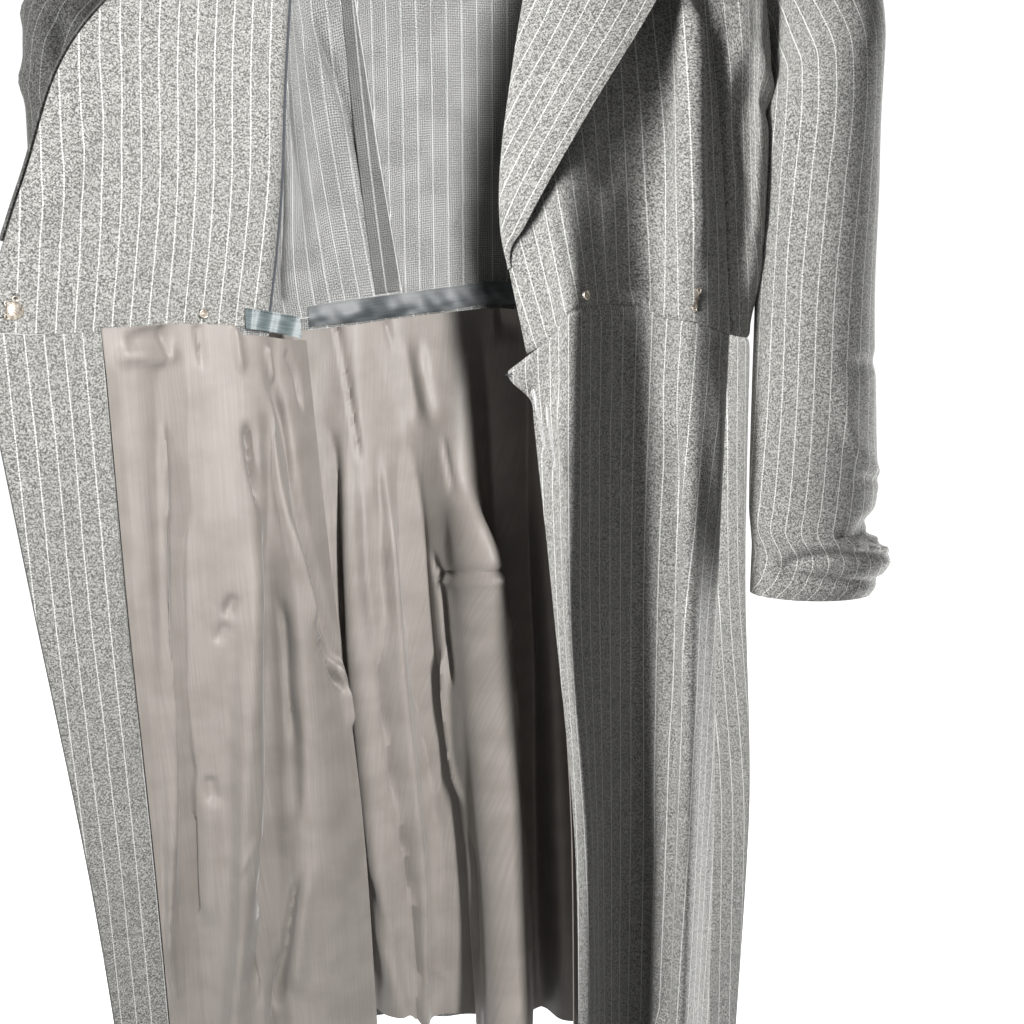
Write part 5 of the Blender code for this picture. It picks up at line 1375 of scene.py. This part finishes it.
def hook():
    """The hook's face plate, its three eyes and the stitches through them."""
    place = seat(0.42, 0.962, ON_FACING)
    knob("hook_face", place, 1.6, 0.0, 1.7, 4.9, 1.1)
    ring("hook_eye_up", place, -3.4, 4.4, 1.0, 1.7, 0.5)
    ring("hook_eye_down", place, -3.4, -4.4, 1.0, 1.7, 0.5)
    ring("hook_eye_top", place, 2.2, 8.0, 0.7, 1.9, 0.55)
    strands = [[(-3.6 + 0.35 * k, y, 0.2), (-5.2 - 0.3 * k, y * 1.05, 2.2), (-6.8, y + 0.7 * (-1) ** k, 0.1)]
               for k in range(4) for y in (4.4, -4.4)]
    strands += [[(2.2 + 0.5 * k, 8.2, 0.2), (2.0 + 0.8 * k, 10.2, 1.8), (1.6 + 1.0 * k, 11.8, 0.1)]
                for k in range(-1, 3)]
    threads("hook_thread", place, strands)


def bar():
    """The bar's two eyes and the stitches through them."""
    place = seat(20.0, 0.955, ON_FRONT)
    for y, label in ((7.2, "up"), (-7.2, "down")):
        ring("bar_eye_" + label, place, -0.3, y, 1.1, 1.6, 0.5)
        strands = [[(-0.6, y + 0.5 * k, 0.3), (-2.4, y + 0.6 * k, 1.6), (-3.8, y + 0.8 * k, 0.0)]
                   for k in (-1, 0, 1)]
        threads("bar_thread_" + label, place, strands, 0.2)


def snap(name, place):
    """A press stud's raised rim, its middle and four bunches of stitches."""
    ring(name + "_rim", place, 0.0, 0.0, 1.5, 3.1, 0.55)
    ring(name + "_well", place, 0.0, 0.0, 1.9, 1.5, 0.4)
    knob(name + "_stud", place, 0.0, 0.0, 1.9, 0.85, 1.4)
    stitch = ((2.2, 1.6), (3.4, 2.2), (4.5, 0.1))     # distance from the middle, height off the cloth
    strands = []
    for k in range(4):
        for turn in (-0.16, 0.0, 0.16):
            a = math.radians(45.0 + 90.0 * k) + turn
            strands.append([(r * math.cos(a), r * math.sin(a), z) for r, z in stitch])
    threads(name + "_thread", place, strands, 0.2)


def fittings():
    for name in ("hook", "bar", "snap_R", "snap_L"):
        node = frame["nodes"][name]
        node.data.materials.clear()
        node.data.materials.append(METAL)
    hook()
    bar()
    snap("snap_R", seat(3.72, 0.975, ON_FACING))
    snap("snap_L", seat(23.6, 0.978, ON_FRONT))


ALLOWANCE = (5.0, 24.0)    # its width at the top and at the waist
ALLOWANCE_LIFT = 1.9       # how far it lies inside the cloth


def seam_allowance():
    """The double layer inside, beside the right back seam: a wedge that widens downwards, in painted shade.
    """
    widths = np.linspace(0.0, 1.0, 6)
    us = np.linspace(RIGHT_PRINCESS - 2.4, RIGHT_PRINCESS, 80)
    rows = []
    for v in with_edges(np.linspace(0.0, 0.965, 90)):
        line = bodice_at(us, [v])[0]
        out = normals_of(bodice_at, us, [v])[0]
        run = np.append(0.0, np.cumsum(np.linalg.norm(np.diff(line, axis=0), axis=1)))
        from_seam = lerp(*ALLOWANCE, v) * (1.0 - widths) + 0.8
        at = np.interp(run[-1] - from_seam, run, np.arange(len(us)))
        low = np.minimum(at.astype(int), len(us) - 2)
        part = (at - low)[:, None]
        lift = ALLOWANCE_LIFT + 0.15 * np.sin(v * 23.0 + widths * 2.0)
        rows.append(lerp(line[low], line[low + 1], part) - lerp(out[low], out[low + 1], part) * lift[:, None])
    points = np.array(rows)
    out = grid_normals(points, normals_of(bodice_at, [9.0], [0.5])[0, 0])
    clothe("seam_allowance_R", points, out, chart_of(points, 0.0, 3.0), (WOOL_LOOK, SHADED_ALLOWANCE_LOOK),
           0.9)


def loose_threads():
    """A dark cord along the facing's edge, painted shadow for the gap there, and the dark thread ends at the
    left skirt corner.
    """
    # A dark cord laid where the facing's edge shows a shadow gap: painted shadow.
    edge = [bodice_at([u], [v])[0, 0] - normals_of(bodice_at, [u], [v])[0, 0] * 4.2
            for u, v in zip(np.linspace(4.86, 4.93, 40), np.linspace(0.05, 0.985, 40))]
    threads("facing_overlock", Matrix.Identity(4), [edge], 1.0)

    x, y, z = skirt_at([LEFT_EDGE], [0.0])[0, 0]
    strands = [[(x + a, y + b - 1.0, z - 3.0), (x + a + dx * 0.5, y + b - 2.4, z - 3.0 + dz),
                (x + a + dx, y + b - 1.4, z - 4.5 + dz)]
               for a, b, dx, dz in ((0.0, 0.0, 5.0, -1.0), (2.0, -0.4, 4.0, 3.0), (-1.0, -0.8, 7.0, 1.5))]
    threads("corner_thread", Matrix.Identity(4), strands, 0.3)


def lamp(name, place, aim, width, height, power, lit):
    """A softbox. Lit holds words from the names of the pieces that it lights, or is empty for all of them."""
    light = bpy.data.lights.new(name, "AREA")
    light.shape = "RECTANGLE"
    light.size, light.size_y, light.energy = width, height, power
    body = bpy.data.objects.new(name, light)
    body.location = place
    body.rotation_euler = (Vector(aim) - Vector(place)).to_track_quat("-Z", "Y").to_euler()
    bpy.context.scene.collection.objects.link(body)
    if lit:
        group = bpy.data.collections.new(name + "_lights")
        for piece in bpy.data.objects:
            if piece.type == "MESH" and any(word in piece.name for word in lit):
                group.objects.link(piece)
        body.light_linking.receiver_collection = group


def studio():
    bpy.ops.mesh.primitive_plane_add(size=16.0, location=(0.0, 2.0, -1.45))
    floor = bpy.context.object
    floor.name = "studio_floor"
    bpy.ops.object.transform_apply(location=True)
    floor.data.materials.append(pale_floor())
    floor.visible_diffuse = False

    world = bpy.data.worlds.new("studio")
    world.use_nodes = True
    bpy.context.scene.world = world
    tree = world.node_tree
    glow = tree.nodes["Background"]
    glow.inputs["Color"].default_value = (1.0, 1.0, 1.0, 1.0)
    seen = add(tree, "ShaderNodeLightPath", {}).outputs["Is Camera Ray"]
    level = add(tree, "ShaderNodeMix", {0: seen, 2: SKY_LIGHT, 3: SKY_SEEN}).outputs[0]
    tree.links.new(level, glow.inputs["Strength"])

    for row in LAMPS:
        lamp(*row)

    camera = bpy.data.cameras.new("camera")
    camera.sensor_width = SENSOR
    camera.lens = SENSOR * FOCAL / PICTURE
    camera.clip_start = 0.05
    eye = bpy.data.objects.new("camera", camera)
    eye.location = EYE
    eye.rotation_euler = (math.radians(90.0 - PITCH_DOWN), 0.0, 0.0)
    bpy.context.scene.collection.objects.link(eye)
    bpy.context.scene.camera = eye
    bpy.context.scene.view_settings.view_transform = "Standard"


SKY_LIGHT = 0.12           # strength of the white sky as a light
SKY_SEEN = 1.05            # and as the camera sees it
OPEN_SIDE = ("facing_", "side_R", "bodice_back", "waist_tape", "ribbon", "hook", "snap_R", "skirt_back",
             "seam_allowance", "collar", "bodice_front_R", "skirt_front_R", "lining_front_R", "overlock")
CLOSED_SIDE = ("front_L", "side_L", "lapel_L", "sleeve_L", "bar", "snap_L", "corner_thread", "facing_L")
LAMPS = (
    # name, place, aim, width, height, watts, pieces lit
    ("key_right", (0.32, -1.15, 0.0), (-0.15, -0.03, -0.5), 0.22, 0.9, 35.0, OPEN_SIDE),
    ("key_left", (-0.77, -0.76, -0.1), (0.15, -0.1, -0.5), 0.2, 1.4, 34.0, CLOSED_SIDE),
    ("rim_strip", (0.95, 0.12, -0.95), (0.2, -0.05, -0.75), 0.15, 0.8, 15.0, CLOSED_SIDE),
    ("back_left", (1.3, 1.9, 0.3), (0.0, 0.0, -0.5), 1.2, 1.2, 30.0, ()),
    ("back_right", (-1.3, 1.9, 0.3), (0.0, 0.0, -0.5), 1.2, 1.2, 30.0, ()),
    ("outer_right", (-0.9, -0.9, 0.1), (-0.3, -0.1, -0.3), 0.3, 0.9, 7.0, ("sleeve_R", "lapel_R")),
    ("lining_right", (-0.80, -0.84, -0.3), (-0.2, -0.1, -0.65), 0.1, 0.9, 9.0, ("lining_front_R",)),
    ("lining_left", (0.54, -1.02, -0.3), (-0.05, 0.0, -0.65), 0.1, 1.0, 35.0, ("lining_back",)),
)

bodice()
skirt()
linings()
left_lapel()
right_lapel()
collar()
sleeves()
waist_tape()
ribbon_end()
fittings()
seam_allowance()
loose_threads()
studio()
